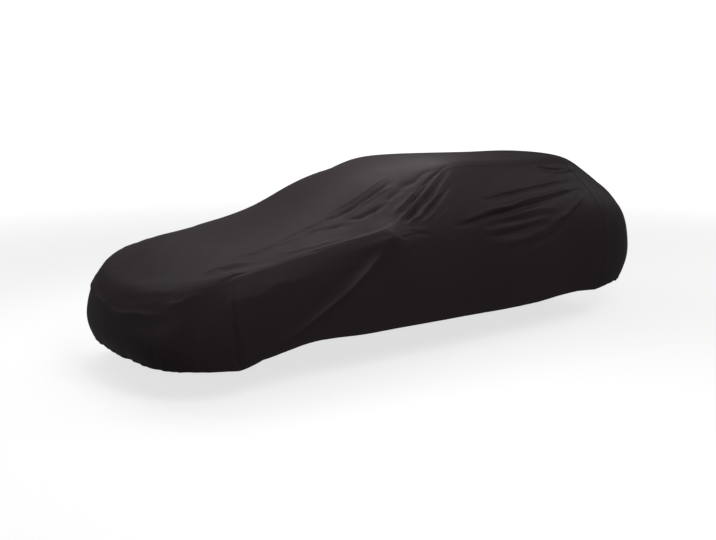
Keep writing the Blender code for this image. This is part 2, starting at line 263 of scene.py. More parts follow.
# How the hem's edge rises and falls along the sides
HEM_LIFTS = (
    HemLift(2.30, 0.000, 0.004),
    HemLift(2.00, 0.007, -0.004),
    HemLift(1.80, -0.008, -0.010),
    HemLift(1.73, -0.018, -0.012),
    HemLift(1.66, -0.006, 0.002),
    HemLift(1.57, 0.014, 0.010),
    HemLift(1.40, 0.010, 0.012),
    HemLift(1.10, 0.000, 0.004),
    HemLift(0.40, -0.003, 0.003),
    HemLift(-0.30, 0.002, -0.005),
    HemLift(-0.90, 0.000, 0.002),
    HemLift(-1.10, 0.008, 0.006),
    HemLift(-1.36, 0.009, 0.010),
    HemLift(-1.60, -0.012, -0.008),
    HemLift(-1.90, 0.008, 0.004),
    HemLift(-2.40, 0.000, 0.000),
)

# The creases that the photograph shows, and a few for the tail
LEFT_CREASES = (
    Crease("crest_double", (1.82, 0.58, 0.78), (1.71, 0.61, 0.81), (1.54, 0.64, 0.83), 0.014, 0.009),
    Crease("crest_gap", (1.83, 0.63, 0.76), (1.72, 0.66, 0.79), (1.54, 0.67, 0.81), 0.014, -0.005),
    Crease("crest_furrow", (1.26, 0.57, 0.90), (1.02, 0.55, 0.95), (0.79, 0.63, 0.98), 0.024, -0.011),
    Crease("crest_band", (1.33, 0.66, 0.86), (1.11, 0.71, 0.89), (0.88, 0.73, 0.92), 0.015, 0.006),
    Crease("crest_under", (1.79, 0.74, 0.74), (1.47, 0.74, 0.80), (1.12, 0.77, 0.86), 0.013, -0.008),
    Crease("bonnet_valley", (1.59, 0.58, 0.84), (1.36, 0.57, 0.88), (1.05, 0.50, 0.95), 0.018, -0.008),
    Crease("bonnet_lip", (2.11, 0.00, 0.64), (2.03, 0.28, 0.69), (1.91, 0.61, 0.73), 0.034, 0.002),
    Crease("grille_flat", (2.16, 0.00, 0.57), (2.09, 0.40, 0.63), (1.90, 0.69, 0.71), 0.032, -0.004),
    Crease("bumper_crest", (2.19, 0.00, 0.51), (2.16, 0.26, 0.51), (2.07, 0.56, 0.56), 0.019, 0.014),
    Crease("bumper_rise", (2.09, 0.52, 0.57), (2.01, 0.62, 0.63), (1.89, 0.72, 0.68), 0.022, 0.011),
    Crease("bumper_under", (2.21, 0.00, 0.42), (2.14, 0.50, 0.48), (1.98, 0.70, 0.58), 0.034, -0.006),
    Crease("fender_roll", (1.80, 0.80, 0.62), (1.45, 0.84, 0.69), (1.02, 0.85, 0.76), 0.060, 0.014),
    Crease("corner_gather", (1.77, 0.78, 0.70), (1.79, 0.82, 0.50), (1.79, 0.81, 0.25), 0.014, 0.006),
    Crease("corner_crease", (1.76, 0.81, 0.63), (1.75, 0.83, 0.44), (1.73, 0.82, 0.24), 0.015, -0.009),
    Crease("corner_after", (1.70, 0.83, 0.53), (1.70, 0.83, 0.37), (1.69, 0.83, 0.23), 0.015, 0.005),
    Crease("gather_one", (2.14, 0.51, 0.46), (2.15, 0.53, 0.35), (2.12, 0.50, 0.23), 0.014, -0.006),
    Crease("gather_two", (2.07, 0.65, 0.46), (2.07, 0.67, 0.35), (2.06, 0.64, 0.23), 0.011, -0.004),
    Crease("gather_three", (1.96, 0.74, 0.50), (1.97, 0.75, 0.37), (1.97, 0.74, 0.23), 0.014, 0.005),
    Crease("gather_four", (1.89, 0.79, 0.46), (1.89, 0.79, 0.35), (1.89, 0.78, 0.23), 0.013, -0.006),
    Crease("pull_ridge", (0.69, 0.86, 0.80), (0.95, 0.86, 0.61), (1.43, 0.84, 0.33), 0.020, 0.017),
    Crease("pull_trough", (0.60, 0.86, 0.75), (0.84, 0.87, 0.59), (1.23, 0.85, 0.36), 0.036, -0.004),
    Crease("pull_above", (0.70, 0.85, 0.84), (0.99, 0.86, 0.67), (1.35, 0.85, 0.48), 0.036, -0.006),
    Crease("screen_far_low", (1.22, 0.53, 0.91), (1.02, 0.49, 0.96), (0.81, 0.48, 1.03), 0.016, -0.010),
    Crease("screen_far_ridge", (1.23, 0.62, 0.89), (1.02, 0.58, 0.94), (0.80, 0.57, 1.00), 0.018, 0.006),
    Crease("screen_one_ridge", (0.84, 0.42, 1.03), (0.60, 0.44, 1.12), (0.24, 0.39, 1.27), 0.015, 0.012),
    Crease("screen_one", (0.84, 0.48, 1.01), (0.64, 0.51, 1.08), (0.29, 0.46, 1.23), 0.011, -0.020),
    Crease("screen_two_ridge", (0.75, 0.55, 1.03), (0.51, 0.52, 1.13), (0.29, 0.51, 1.21), 0.011, 0.012),
    Crease("screen_two", (0.74, 0.60, 1.01), (0.53, 0.62, 1.07), (0.34, 0.57, 1.16), 0.011, -0.018),
    Crease("screen_three_ridge", (0.60, 0.64, 1.03), (0.45, 0.61, 1.10), (0.32, 0.59, 1.15), 0.011, 0.011),
    Crease("pillar_hollow", (0.42, 0.60, 1.12), (0.22, 0.55, 1.20), (-0.07, 0.53, 1.32), 0.028, -0.011),
    Crease("pillar_brow", (-0.20, 0.53, 1.33), (0.01, 0.59, 1.26), (0.20, 0.63, 1.16), 0.012, -0.011),
    Crease("pillar_first", (0.47, 0.70, 1.03), (0.29, 0.65, 1.12), (0.07, 0.60, 1.23), 0.013, 0.012),
    Crease("pillar_first_gap", (0.45, 0.73, 1.01), (0.28, 0.68, 1.10), (0.05, 0.62, 1.22), 0.010, -0.009),
    Crease("pillar_main", (0.44, 0.74, 1.01), (0.24, 0.69, 1.11), (-0.12, 0.57, 1.30), 0.014, 0.016),
    Crease("pillar_furrow", (0.42, 0.76, 0.99), (0.25, 0.72, 1.07), (-0.04, 0.63, 1.23), 0.013, -0.016),
    Crease("pillar_rear", (0.39, 0.78, 0.98), (0.19, 0.74, 1.07), (-0.19, 0.60, 1.29), 0.014, 0.016),
    Crease("pillar_rear_gap", (0.29, 0.79, 0.99), (0.11, 0.74, 1.09), (-0.09, 0.67, 1.20), 0.011, -0.012),
    Crease("pillar_last", (0.27, 0.81, 0.98), (0.09, 0.76, 1.07), (-0.14, 0.68, 1.20), 0.013, 0.010),
    Crease("window_ridge", (0.22, 0.82, 0.96), (0.07, 0.79, 1.02), (-0.09, 0.76, 1.08), 0.015, 0.004),
    Crease("mirror_low", (0.55, 0.81, 0.92), (0.49, 0.84, 0.90), (0.41, 0.84, 0.91), 0.011, -0.005),
    Crease("mirror_foot", (0.42, 0.84, 0.90), (0.33, 0.84, 0.91), (0.22, 0.84, 0.89), 0.011, -0.005),
    Crease("mirror_fold", (0.48, 0.80, 0.94), (0.38, 0.82, 0.94), (0.27, 0.83, 0.93), 0.011, 0.004),
    Crease("quarter_main", (-0.09, 0.80, 0.96), (-0.57, 0.78, 1.03), (-1.31, 0.74, 1.11), 0.016, 0.027),
    Crease("quarter_dark", (-0.01, 0.82, 0.93), (-0.57, 0.80, 0.99), (-1.47, 0.74, 1.10), 0.014, -0.021),
    Crease("quarter_high", (-0.34, 0.75, 1.08), (-0.77, 0.73, 1.12), (-1.48, 0.69, 1.18), 0.013, -0.014),
    Crease("quarter_lift", (-0.64, 0.72, 1.16), (-1.10, 0.69, 1.20), (-1.57, 0.63, 1.24), 0.015, 0.005),
    Crease("roof_dip", (-1.08, 0.61, 1.29), (-1.24, 0.65, 1.25), (-1.56, 0.61, 1.25), 0.014, -0.012),
    Crease("quarter_top", (-1.05, 0.60, 1.30), (-1.24, 0.63, 1.27), (-1.50, 0.61, 1.26), 0.013, -0.014),
    Crease("quarter_second", (-0.23, 0.82, 0.94), (-0.60, 0.81, 0.97), (-1.06, 0.80, 0.99), 0.014, 0.012),
    Crease("quarter_gap", (-0.31, 0.83, 0.90), (-0.60, 0.83, 0.92), (-1.09, 0.82, 0.95), 0.013, -0.010),
    Crease("quarter_third", (-0.28, 0.84, 0.88), (-0.58, 0.83, 0.89), (-0.98, 0.83, 0.92), 0.013, 0.010),
    Crease("quarter_below", (-0.30, 0.85, 0.84), (-0.58, 0.85, 0.84), (-0.94, 0.84, 0.90), 0.014, -0.010),
    Crease("quarter_bend", (-0.38, 0.86, 0.78), (-0.76, 0.85, 0.80), (-1.10, 0.84, 0.88), 0.014, 0.017),
    Crease("quarter_bend_up", (-0.98, 0.84, 0.87), (-1.20, 0.83, 0.94), (-1.45, 0.77, 1.05), 0.014, 0.021),
    Crease("quarter_under", (-0.51, 0.86, 0.72), (-0.94, 0.85, 0.77), (-1.22, 0.84, 0.88), 0.013, -0.010),
    Crease("tail_pull", (-1.83, 0.62, 1.14), (-2.25, 0.52, 0.86), (-2.37, 0.30, 0.46), 0.040, 0.010),
    Crease("tail_pull_gap", (-1.92, 0.68, 1.04), (-2.24, 0.62, 0.76), (-2.33, 0.44, 0.40), 0.036, -0.009),
    Crease("tail_fall", (-1.83, 0.36, 1.24), (-2.12, 0.30, 1.04), (-2.32, 0.22, 0.84), 0.034, -0.007),
    Crease("tail_fall_ridge", (-1.83, 0.46, 1.22), (-2.12, 0.40, 1.02), (-2.33, 0.27, 0.80), 0.030, 0.007),
    Crease("tail_sag", (-2.29, 0.58, 0.66), (-2.37, 0.36, 0.60), (-2.38, 0.15, 0.63), 0.030, -0.006),
    Crease("tail_hem_fold", (-2.32, 0.52, 0.44), (-2.26, 0.54, 0.34), (-2.24, 0.52, 0.29), 0.026, 0.007),
    Crease("tail_hem_gap", (-2.34, 0.40, 0.42), (-2.30, 0.40, 0.33), (-2.28, 0.38, 0.29), 0.026, -0.007),
)

# The broad creases of the right half, given on the left as all places are
RIGHT_CREASES = (
    Crease("pull_ridge", (0.62, 0.85, 0.82), (0.90, 0.86, 0.60), (1.22, 0.85, 0.36), 0.034, 0.012),
    Crease("pull_trough", (0.52, 0.86, 0.74), (0.74, 0.87, 0.56), (1.00, 0.86, 0.37), 0.048, -0.009),
    Crease("pillar_ridge", (0.38, 0.74, 1.02), (0.16, 0.70, 1.12), (-0.12, 0.60, 1.28), 0.034, 0.011),
    Crease("pillar_trough", (0.30, 0.79, 0.99), (0.08, 0.75, 1.09), (-0.16, 0.68, 1.20), 0.036, -0.009),
    Crease("quarter_ridge", (-0.40, 0.81, 0.98), (-0.85, 0.76, 1.08), (-1.40, 0.70, 1.16), 0.042, 0.013),
    Crease("quarter_trough", (-0.30, 0.84, 0.90), (-0.85, 0.82, 0.97), (-1.38, 0.76, 1.08), 0.044, -0.012),
    Crease("quarter_low", (-0.70, 0.85, 0.80), (-1.05, 0.84, 0.86), (-1.36, 0.80, 0.99), 0.044, 0.010),
    Crease("bumper_crest", (2.19, 0.05, 0.51), (2.11, 0.48, 0.57), (2.03, 0.59, 0.63), 0.044, 0.008),
    Crease("tail_pull", (-1.92, 0.60, 1.10), (-2.28, 0.48, 0.84), (-2.37, 0.34, 0.52), 0.044, 0.009),
    Crease("tail_pull_gap", (-2.04, 0.66, 0.98), (-2.26, 0.62, 0.72), (-2.31, 0.52, 0.42), 0.038, -0.009),
    Crease("tail_fall", (-1.83, 0.28, 1.25), (-2.07, 0.25, 1.08), (-2.26, 0.20, 0.92), 0.034, -0.006),
    Crease("tail_fall_ridge", (-1.85, 0.40, 1.22), (-2.11, 0.35, 1.04), (-2.30, 0.24, 0.86), 0.032, 0.006),
    Crease("tail_hem_fold", (-2.36, 0.34, 0.44), (-2.32, 0.32, 0.34), (-2.29, 0.34, 0.29), 0.026, 0.007),
    Crease("tail_hem_gap", (-2.27, 0.60, 0.42), (-2.24, 0.58, 0.33), (-2.19, 0.60, 0.29), 0.026, -0.006),
)

# Patches of finer creases, alike on both halves but for their seeds
CRINKLES = (
    Crinkle("pillar", (0.15, 0.70, 1.12), 0.24, (-0.52, -0.17, 0.30), 0.040, 0.0030),
    Crinkle("screen_corner", (0.58, 0.54, 1.07), 0.22, (-0.56, -0.01, 0.22), 0.050, 0.0026),
    Crinkle("mirror_foot", (0.46, 0.85, 0.86), 0.14, (-0.30, 0.02, 0.08), 0.034, 0.0024),
    Crinkle("quarter", (-0.85, 0.78, 1.02), 0.42, (-1.00, -0.10, 0.13), 0.060, 0.0034),
    Crinkle("tail_corner", (-1.75, 0.66, 1.00), 0.34, (-0.40, 0.10, 0.30), 0.070, 0.0026),
    Crinkle("door", (-0.10, 0.87, 0.62), 0.60, (0.62, 0.00, -0.42), 0.130, 0.0020),
    Crinkle("front_wing", (1.15, 0.86, 0.58), 0.36, (0.60, 0.00, -0.30), 0.100, 0.0020),
    Crinkle("front_corner", (1.98, 0.62, 0.44), 0.30, (0.02, 0.05, 1.00), 0.070, 0.0026),
    Crinkle("rear_corner", (-2.18, 0.70, 0.52), 0.34, (0.05, 0.02, 1.00), 0.080, 0.0026),
    Crinkle("bonnet", (1.25, 0.30, 0.96), 0.62, (1.00, 0.34, -0.05), 0.170, 0.0016),
    Crinkle("screen", (0.50, 0.12, 1.24), 0.44, (-0.86, 0.05, 0.40), 0.180, 0.0014),
    Crinkle("roof", (-0.60, 0.25, 1.38), 0.70, (1.00, 0.08, 0.00), 0.200, 0.0012),
    Crinkle("tail", (-2.05, 0.30, 1.08), 0.46, (-0.60, 0.30, -0.40), 0.130, 0.0020),
)

# Seeds of each half's unevenness
SIDE_SEEDS = {Side.LEFT: 100, Side.RIGHT: 500}

# Lines of every panel's turned hem, in rings up from its edge
BAND_LINES = (0.02, 0.18, 0.24)

# Lines of the middle panel's lap, in columns out from an upright seam and in rings up
# from the long one. The side panels are tucked in as far as the last of them.
LAP_COLUMNS = (0.012, 0.05)
LAP_RINGS = (0.015, 0.06)


def level_ended(s: np.ndarray) -> np.ndarray:
    """A rise from 0 to 1 that is level, and bends no more, at both of its ends."""
    return s * s * s * (s * (6.0 * s - 15.0) + 10.0)


def even_noise(across: np.ndarray, along: np.ndarray, seed: int) -> np.ndarray:
    """Smooth uneven values between about -1 and 1.

    Args:
        across: First coordinate of each point, in steps of the noise.
        along: Second coordinate of each point, in steps of the noise.
        seed: Fixed seed of the values.

    Returns:
        One value a point, in the shape of the coordinates.
    """
    size = 64
    values = np.random.default_rng(seed).uniform(-1.0, 1.0, (size, size))
    column = np.floor(across).astype(int)
    row = np.floor(along).astype(int)
    s = level_ended(across - column)
    t = level_ended(along - row)
    near = values[column % size, row % size] * (1.0 - s)
    near += values[(column + 1) % size, row % size] * s
    far = values[column % size, (row + 1) % size] * (1.0 - s)
    far += values[(column + 1) % size, (row + 1) % size] * s
    return near * (1.0 - t) + far * t


def soft_step(value: np.ndarray) -> np.ndarray:
    """Smooth step from 0 to 1 as the value goes from 0 to 1."""
    share = np.clip(value, 0.0, 1.0)
    return share * share * (3.0 - 2.0 * share)


def between(first: float, last: float, share: float) -> float:
    """The value that lies at a share of the way from the first to the last."""
    return (1.0 - share) * first + share * last


def spline_weights(
    places: np.ndarray, count: int, first_sign: int, last_sign: int, slope: bool
) -> np.ndarray:
    """Weights of a uniform cubic B-spline at the given places.

    Args:
        places: Place of each point along the control points.
        count: Number of control points.
        first_sign: 1 or -1 reflects the points at the start, and 0 ends on the first.
        last_sign: The same at the far end.
        slope: Whether the weights give the slope and not the place.

    Returns:
        A matrix with a row for each place and a column for each control point.
    """
    weights = np.zeros((len(places), count + 2))
    start = np.clip(np.floor(places).astype(int), 0, count - 2)
    s = places - start
    if slope:
        basis = (
            -0.5 * (1.0 - s) ** 2,
            1.5 * s**2 - 2.0 * s,
            -1.5 * s**2 + s + 0.5,
            0.5 * s**2,
        )
    else:
        basis = (
            (1.0 - s) ** 3 / 6.0,
            (3.0 * s**3 - 6.0 * s**2 + 4.0) / 6.0,
            (-3.0 * s**3 + 3.0 * s**2 + 3.0 * s + 1.0) / 6.0,
            s**3 / 6.0,
        )
    rows = np.arange(len(places))
    for offset, share in enumerate(basis):
        weights[rows, start + offset] += share
    inside = weights[:, 1:-1].copy()
    if first_sign:
        inside[:, 1] += first_sign * weights[:, 0]
    else:
        inside[:, 0] += 2.0 * weights[:, 0]
        inside[:, 1] -= weights[:, 0]
    if last_sign:
        inside[:, -2] += last_sign * weights[:, -1]
    else:
        inside[:, -1] += 2.0 * weights[:, -1]
        inside[:, -2] -= weights[:, -1]
    return inside


@dataclass(frozen=True)
class DrapedForm:
    """The smooth form that the cover takes over what holds it up, without creases.

    Half of it is one cubic surface. Its columns go from the middle of the nose
    to the middle of the tail, and its rows are the rings.

    Attributes:
        inner_share: Width of the inner ring, as a share of the seam's.
        outer_share: Width of the outer ring, as a share of the seam's.
        glass_bow: How far the upper side bows out, as a share of its rise.
        side_drop: Where the side ring lies on the way from the belt down to the hem.
        low_drop: The same for the low ring.
        low_tuck: How far the low ring has come in to the width of the hem, as a share.
        slope_inset: How far from the ends of the centre line slopes are taken.
        end_angles: Turns of the columns round the nose and the tail, in degrees.
    """

    inner_share: float = 0.42
    outer_share: float = 0.80
    glass_bow: float = 0.05
    side_drop: float = 0.42
    low_drop: float = 0.73
    low_tuck: float = 0.6
    slope_inset: float = 0.002
    end_angles: tuple[float, ...] = (0.0, 20.0, 40.0, 58.0, 78.0)

    @property
    def front_seam(self) -> int:
        """Column of the seam at the front corner."""
        return len(self.end_angles) - 1

    @property
    def rear_seam(self) -> int:
        """Column of the seam at the rear corner."""
        return len(self.end_angles) + len(STATIONS)

    def station_rings(self, station: Station) -> list[Place]:
        """Control points of one cross-section.

        Args:
            station: Sizes of the cross-section.

        Returns:
            One point a ring, from the centre line to the hem.
        """
        drop = station.top - station.seam_z
        inner_z = station.top - drop * self.inner_share**station.crown
        outer_z = station.top - drop * self.outer_share**station.crown
        bow = self.glass_bow * (station.seam_z - station.belt_z)
        glass_y = 0.5 * (station.seam_y + station.belt_y) + bow
        glass_z = 0.5 * (station.seam_z + station.belt_z) + 0.5 * bow
        side_z = between(station.belt_z, station.hem_z, self.side_drop)
        low_y = between(station.side_y, station.hem_y, self.low_tuck)
        low_z = between(station.belt_z, station.hem_z, self.low_drop)
        return [
            (station.x, 0.0, station.top),
            (station.x, self.inner_share * station.seam_y, inner_z),
            (station.x, self.outer_share * station.seam_y, outer_z),
            (station.x, station.seam_y, station.seam_z),
            (station.x, glass_y, glass_z),
            (station.x, station.belt_y, station.belt_z),
            (station.x, station.side_y, side_z),
            (station.x, low_y, low_z),
            (station.x, station.hem_y, station.hem_z),
        ]

    def end_rings(self, angle: float, ends: tuple[End, ...], first: list[Place]) -> list[Place]:
        """Control points of one column round the nose or the tail.

        Args:
            angle: Turn from the centre line towards the side, in degrees.
            ends: The rings at the centre line.
            first: Control points of the nearest cross-section.

        Returns:
            One point a ring.
        """
        turn = np.radians(angle)
        points = []
        for end in ends:
            start = first[end.ring.value]
            forward = np.cos(turn) ** (2.0 / end.square)
            outward = np.sin(turn) ** (2.0 / end.square)
            x = start[0] + (end.x - start[0]) * forward
            z = end.z + (start[2] - end.z) * np.sin(turn) ** 2
            points.append((x, start[1] * outward, z))
        return points

    def control_net(self) -> np.ndarray:
        """Gathers the control points of the left half.

        Returns:
            The points, by column and ring.
        """
        sides = [self.station_rings(station) for station in STATIONS]
        columns = [self.end_rings(angle, NOSE, sides[0]) for angle in self.end_angles]
        columns += sides
        columns += [self.end_rings(angle, TAIL, sides[-1]) for angle in reversed(self.end_angles)]
        return np.array(columns)

    def surface(self, u: np.ndarray, v: np.ndarray) -> tuple[np.ndarray, np.ndarray]:
        """Points and outward normals of the left half.

        Args:
            u: Column place of each point.
            v: Ring place of each point.

        Returns:
            The points and the unit normals, each with a last axis of X, Y and Z.
        """
        net = self.control_net()
        last = net.shape[0] - 1.0
        # The ends of the centre line have no normal of their own, so slopes are taken beside them
        inset = self.slope_inset
        beside = (np.clip(u, inset, last - inset), np.clip(v, inset, None))
        found = []
        for axis in range(3):
            sign = -1 if axis == 1 else 1
            for steep_u, steep_v in ((False, False), (True, False), (False, True)):
                at = beside if steep_u or steep_v else (u, v)
                across = spline_weights(at[0].ravel(), net.shape[0], sign, sign, steep_u)
                down = spline_weights(at[1].ravel(), net.shape[1], sign, 0, steep_v)
                found.append(((across @ net[..., axis]) * down).sum(axis=1))
        place, along, down = np.array(found).reshape(3, 3, -1).transpose(1, 2, 0)
        normals = np.cross(down, along)
        normals /= np.maximum(np.linalg.norm(normals, axis=1, keepdims=True), 1e-9)
        return place.reshape(*u.shape, 3), normals.reshape(*u.shape, 3)


@dataclass(frozen=True)
class MirrorTent:
    """The bulge in each side panel that leaves room for a mirror."""

    tip: Place = (0.60, 0.835, 0.925)
    push: Place = (0.0, 0.070, 0.030)
    reach: float = 0.135
    blunt: float = 0.035

    def shift(self, points: np.ndarray) -> np.ndarray:
        """Works out how far the bulge moves the cloth.

        Args:
            points: Points of the smooth form.

        Returns:
            The move of each point along X, Y and Z.
        """
        gap = np.linalg.norm(points - np.array(self.tip), axis=-1)
        share = np.exp((self.blunt - np.hypot(gap, self.blunt)) / self.reach)
        return share[..., None] * np.array(self.push)


@dataclass(frozen=True)
class SeamLine:
    """The pull of the long seam: its raised line, the fall under it, and its puckers.

    The raised line runs along the bonnet. It grows from ridge_rear forwards,
    and fades before ridge_front.
    """

    ridge: float = 0.016
    ridge_width: float = 0.022
    ridge_rear: float = 0.35
    ridge_growth: float = 0.5
    ridge_front: float = 1.95
    ridge_fade: float = 0.30
    fall_width: float = 0.046
    step: float = 0.001
    step_at: float = 0.034
    step_width: float = 0.024
    pucker: float = 0.0009
    pucker_pitch: float = 0.030
    pucker_length: float = 0.2
    pucker_reach: float = 0.030
    seed: int = 11

    def height(self, gap: np.ndarray, front: np.ndarray, run: np.ndarray) -> np.ndarray:
        """How far the seam moves each point.

        Args:
            gap: Distance down from the seam, below zero above it.
            front: X of the seam beside each point.
            run: Distance along the seam.

        Returns:
            The move along the normal.
        """
        grown = np.clip((front - self.ridge_rear) / self.ridge_growth, 0.0, 1.0)
        share = grown * np.clip((self.ridge_front - front) / self.ridge_fade, 0.0, 1.0)
        width = np.where(gap > 0.0, self.fall_width, self.ridge_width)
        ridge = self.ridge * np.exp(-((gap / width) ** 2))
        step = self.step * np.exp(-(((gap - self.step_at) / self.step_width) ** 2))
        uneven = even_noise(run / self.pucker_pitch, gap / self.pucker_length, self.seed)
        pucker = self.pucker * uneven * np.exp(-np.abs(gap) / self.pucker_reach)
        return share * (ridge - step) + pucker


@dataclass(frozen=True)
class HemLine:
    """The turned hem: its band, its gathers at the ends, and its slack."""

    band: float = 0.025
    band_rise: float = 0.0009
    band_step: float = 0.004
    band_rub_step: float = 0.006
    gather: float = 0.0045
    side_gather: float = 0.18
    gather_pitch: float = 0.055
    gather_length: float = 0.25
    gather_reach: float = 0.085
    fine_share: float = 0.6
    fine_pitch: float = 0.02475
    fine_length: float = 0.12
    slack: float = 0.0030
    slack_pitch: float = 0.24
    slack_length: float = 0.6
    slack_reach: float = 0.16

    def height(self, gap: np.ndarray, run: np.ndarray, at_end: np.ndarray, seed: int) -> np.ndarray:
        """How far the hem moves each point.

        Args:
            gap: Distance up from the edge.
            run: Distance along the hem from the middle of the nose.
            at_end: 1 round the nose and tail, where it gathers most, and 0 along the side.
            seed: Fixed seed of the unevenness.

        Returns:
            The move along the normal.
        """
        ripple = even_noise(run / self.gather_pitch, gap / self.gather_length, seed)
        fine = even_noise(run / self.fine_pitch, gap / self.fine_length, seed + 1)
        ripple += self.fine_share * fine
        share = self.side_gather + (1.0 - self.side_gather) * at_end
        gather = self.gather * share * ripple * np.exp(-gap / self.gather_reach)
        wave = even_noise(run / self.slack_pitch, gap / self.slack_length, seed + 2)
        slack = self.slack * wave * np.exp(-gap / self.slack_reach)
        band = self.band_rise * soft_step((self.band - gap) / self.band_step)
        return gather + slack + band

    def turned(self, gap: np.ndarray) -> np.ndarray:
        """How much of each point belongs to the turned band, from 0 to 1."""
        return soft_step((self.band - gap) / self.band_rub_step)


@dataclass(frozen=True)
class FoldShape:
    """How a crease runs and fades.

    Its line wanders to both sides by a share of its width, and its width and
    height vary. A ridge has a sharper top than a trough's bottom.
    """

    pieces: int = 23
    reach_widths: float = 3.2
    reach_more: float = 0.02
    wander: float = 0.35
    wander_waves: float = 6.0
    wander_start: float = 3.0
    width_change: float = 0.22
    width_waves: float = 4.0
    height_change: float = 0.30
    height_waves: float = 5.0
    height_start: float = 9.0
    end_inset: float = 0.04
    fade_power: float = 0.7
    ridge_power: float = 1.35
    trough_power: float = 1.6

    def curve(self, crease: Crease) -> np.ndarray:
        """Lays a smooth curve through a crease's three places.

        Args:
            crease: The crease.

        Returns:
            Points along the curve, one a row.
        """
        s = np.linspace(0.0, 1.0, self.pieces + 1)[:, None]
        start, middle, end = (np.array(place) for place in (crease.start, crease.middle, crease.end))
        control = 2.0 * middle - 0.5 * (start + end)
        return (1.0 - s) ** 2 * start + 2.0 * s * (1.0 - s) * control + s**2 * end

    def nearest(
        self, curve: np.ndarray, points: np.ndarray, normals: np.ndarray
    ) -> tuple[np.ndarray, np.ndarray, np.ndarray]:
        """Finds the nearest place on a curve, as measured along the cloth.

        Args:
            curve: Points along the curve.
            points: Points of the smooth form.
            normals: Their normals.

        Returns:
            For each point its distance, the sign of the side that it lies on, and
            the place along the curve from 0 to 1.
        """
        gap = np.full(len(points), np.inf)
        side = np.zeros(len(points))
        place = np.zeros(len(points))
        for k in range(self.pieces):
            run = curve[k + 1] - curve[k]
            t = np.clip(((points - curve[k]) @ run) / (run @ run), 0.0, 1.0)
            away = points - curve[k] - t[:, None] * run
            away -= (away * normals).sum(axis=1, keepdims=True) * normals
            far = np.linalg.norm(away, axis=1)
            closer = far < gap
            gap = np.where(closer, far, gap)
            side = np.where(closer, (away * np.cross(normals, run)).sum(axis=1), side)
            place = np.where(closer, (k + t) / self.pieces, place)
        return gap, np.sign(side), place

    def height(
        self, points: np.ndarray, normals: np.ndarray, crease: Crease, seed: int
    ) -> np.ndarray:
        """How far one crease moves each point, fading out at both ends of its curve.

        Args:
            points: Points of the smooth form, one a row.
            normals: Their normals.
            crease: The crease.
            seed: Fixed seed of its unevenness.

        Returns:
            The move along the normal, one a point.
        """
        curve = self.curve(crease)
        reach = self.reach_widths * crease.width + self.reach_more
        near = np.all((points > curve.min(0) - reach) & (points < curve.max(0) + reach), axis=1)
        gap, side, place = self.nearest(curve, points[near], normals[near])
        level = np.zeros_like(place)
        bend = even_noise(self.wander_waves * place + self.wander_start, level, seed + 1)
        gap = np.abs(gap + side * self.wander * crease.width * bend)
        swell = even_noise(self.width_waves * place, level, seed)
        width = crease.width * (1.0 + self.width_change * swell)
        rise = even_noise(self.height_waves * place + self.height_start, level, seed)
        tall = 1.0 + self.height_change * rise
        inside = self.end_inset + (1.0 - 2.0 * self.end_inset) * place
        fade = np.sin(np.pi * np.clip(inside, 0.0, 1.0)) ** self.fade_power
        power = self.ridge_power if crease.height > 0.0 else self.trough_power
        height = np.zeros(len(points))
        height[near] = crease.height * tall * fade * np.exp(-((gap / width) ** power))
        return height


@dataclass(frozen=True)
class FarFolds:
    """How the narrow creases of the left half are moved and changed for the right one."""

    widest: float = 0.02
    seed: int = 900
    shift: float = 0.045
    shift_shares: tuple[float, float, float] = (1.0, 0.2, 0.6)
    height_shares: tuple[float, float] = (0.35, 0.95)
    width_shares: tuple[float, float] = (0.9, 1.3)

    def creases(self) -> tuple[Crease, ...]:
        """Changes each narrow crease a little, always in the same way.

        Returns:
            The changed creases, on the left as all of them are given.
        """
        changed = []
        for index, crease in enumerate(LEFT_CREASES):
            if crease.width > self.widest:
                continue
            chance = np.random.default_rng(self.seed + index)
            shift = chance.uniform(-self.shift, self.shift, 3) * self.shift_shares
            places = (crease.start, crease.middle, crease.end)
            start, middle, end = (tuple(np.array(place) + shift) for place in places)
            height = crease.height * chance.uniform(*self.height_shares)
            width = crease.width * chance.uniform(*self.width_shares)
            changed.append(Crease(crease.name, start, middle, end, width, height))
        return tuple(changed)


@dataclass(frozen=True)
class CrinkleShape:
    """How the fine creases of a patch run. Their lengths and widths are in its pitches."""

    reach_share: float = 2.2
    least_across: float = 0.2
    length: float = 8.0
    bend: float = 0.8
    bend_length: float = 7.0
    bend_width: float = 9.0
    fine_share: float = 0.45
    fine_width: float = 0.5
    fine_length: float = 5.0
    seed_step: int = 7

    def height(self, points: np.ndarray, normals: np.ndarray, seed: int) -> np.ndarray:
        """How far the fine creases of all patches move each point.

        Args:
            points: Points of the smooth form, one a row.
            normals: Their normals.
            seed: Fixed seed of the half's unevenness.

        Returns:
            The move along the normal, one a point.
        """
        height = np.zeros(len(points))
        for index, patch in enumerate(CRINKLES):
            along = np.array(patch.along) / np.linalg.norm(patch.along)
            gap = points - np.array(patch.centre)
            near = np.linalg.norm(gap, axis=1) < self.reach_share * patch.reach
            gap = gap[near]
            across = np.cross(normals[near], along)
            size = np.linalg.norm(across, axis=1, keepdims=True)
            across /= np.maximum(size, self.least_across)
            run = gap @ along / patch.pitch
            side = (gap * across).sum(axis=1) / patch.pitch
            own = seed + self.seed_step * index
            bend = self.bend * even_noise(run / self.bend_length, side / self.bend_width, own + 1)
            uneven = even_noise(side + bend, run / self.length, own)
            fine = even_noise(side / self.fine_width + bend, run / self.fine_length, own + 2)
            uneven += self.fine_share * fine
            fade = np.exp(-((np.linalg.norm(gap, axis=1) / patch.reach) ** 2))
            height[near] += patch.height * uneven * fade
        return height


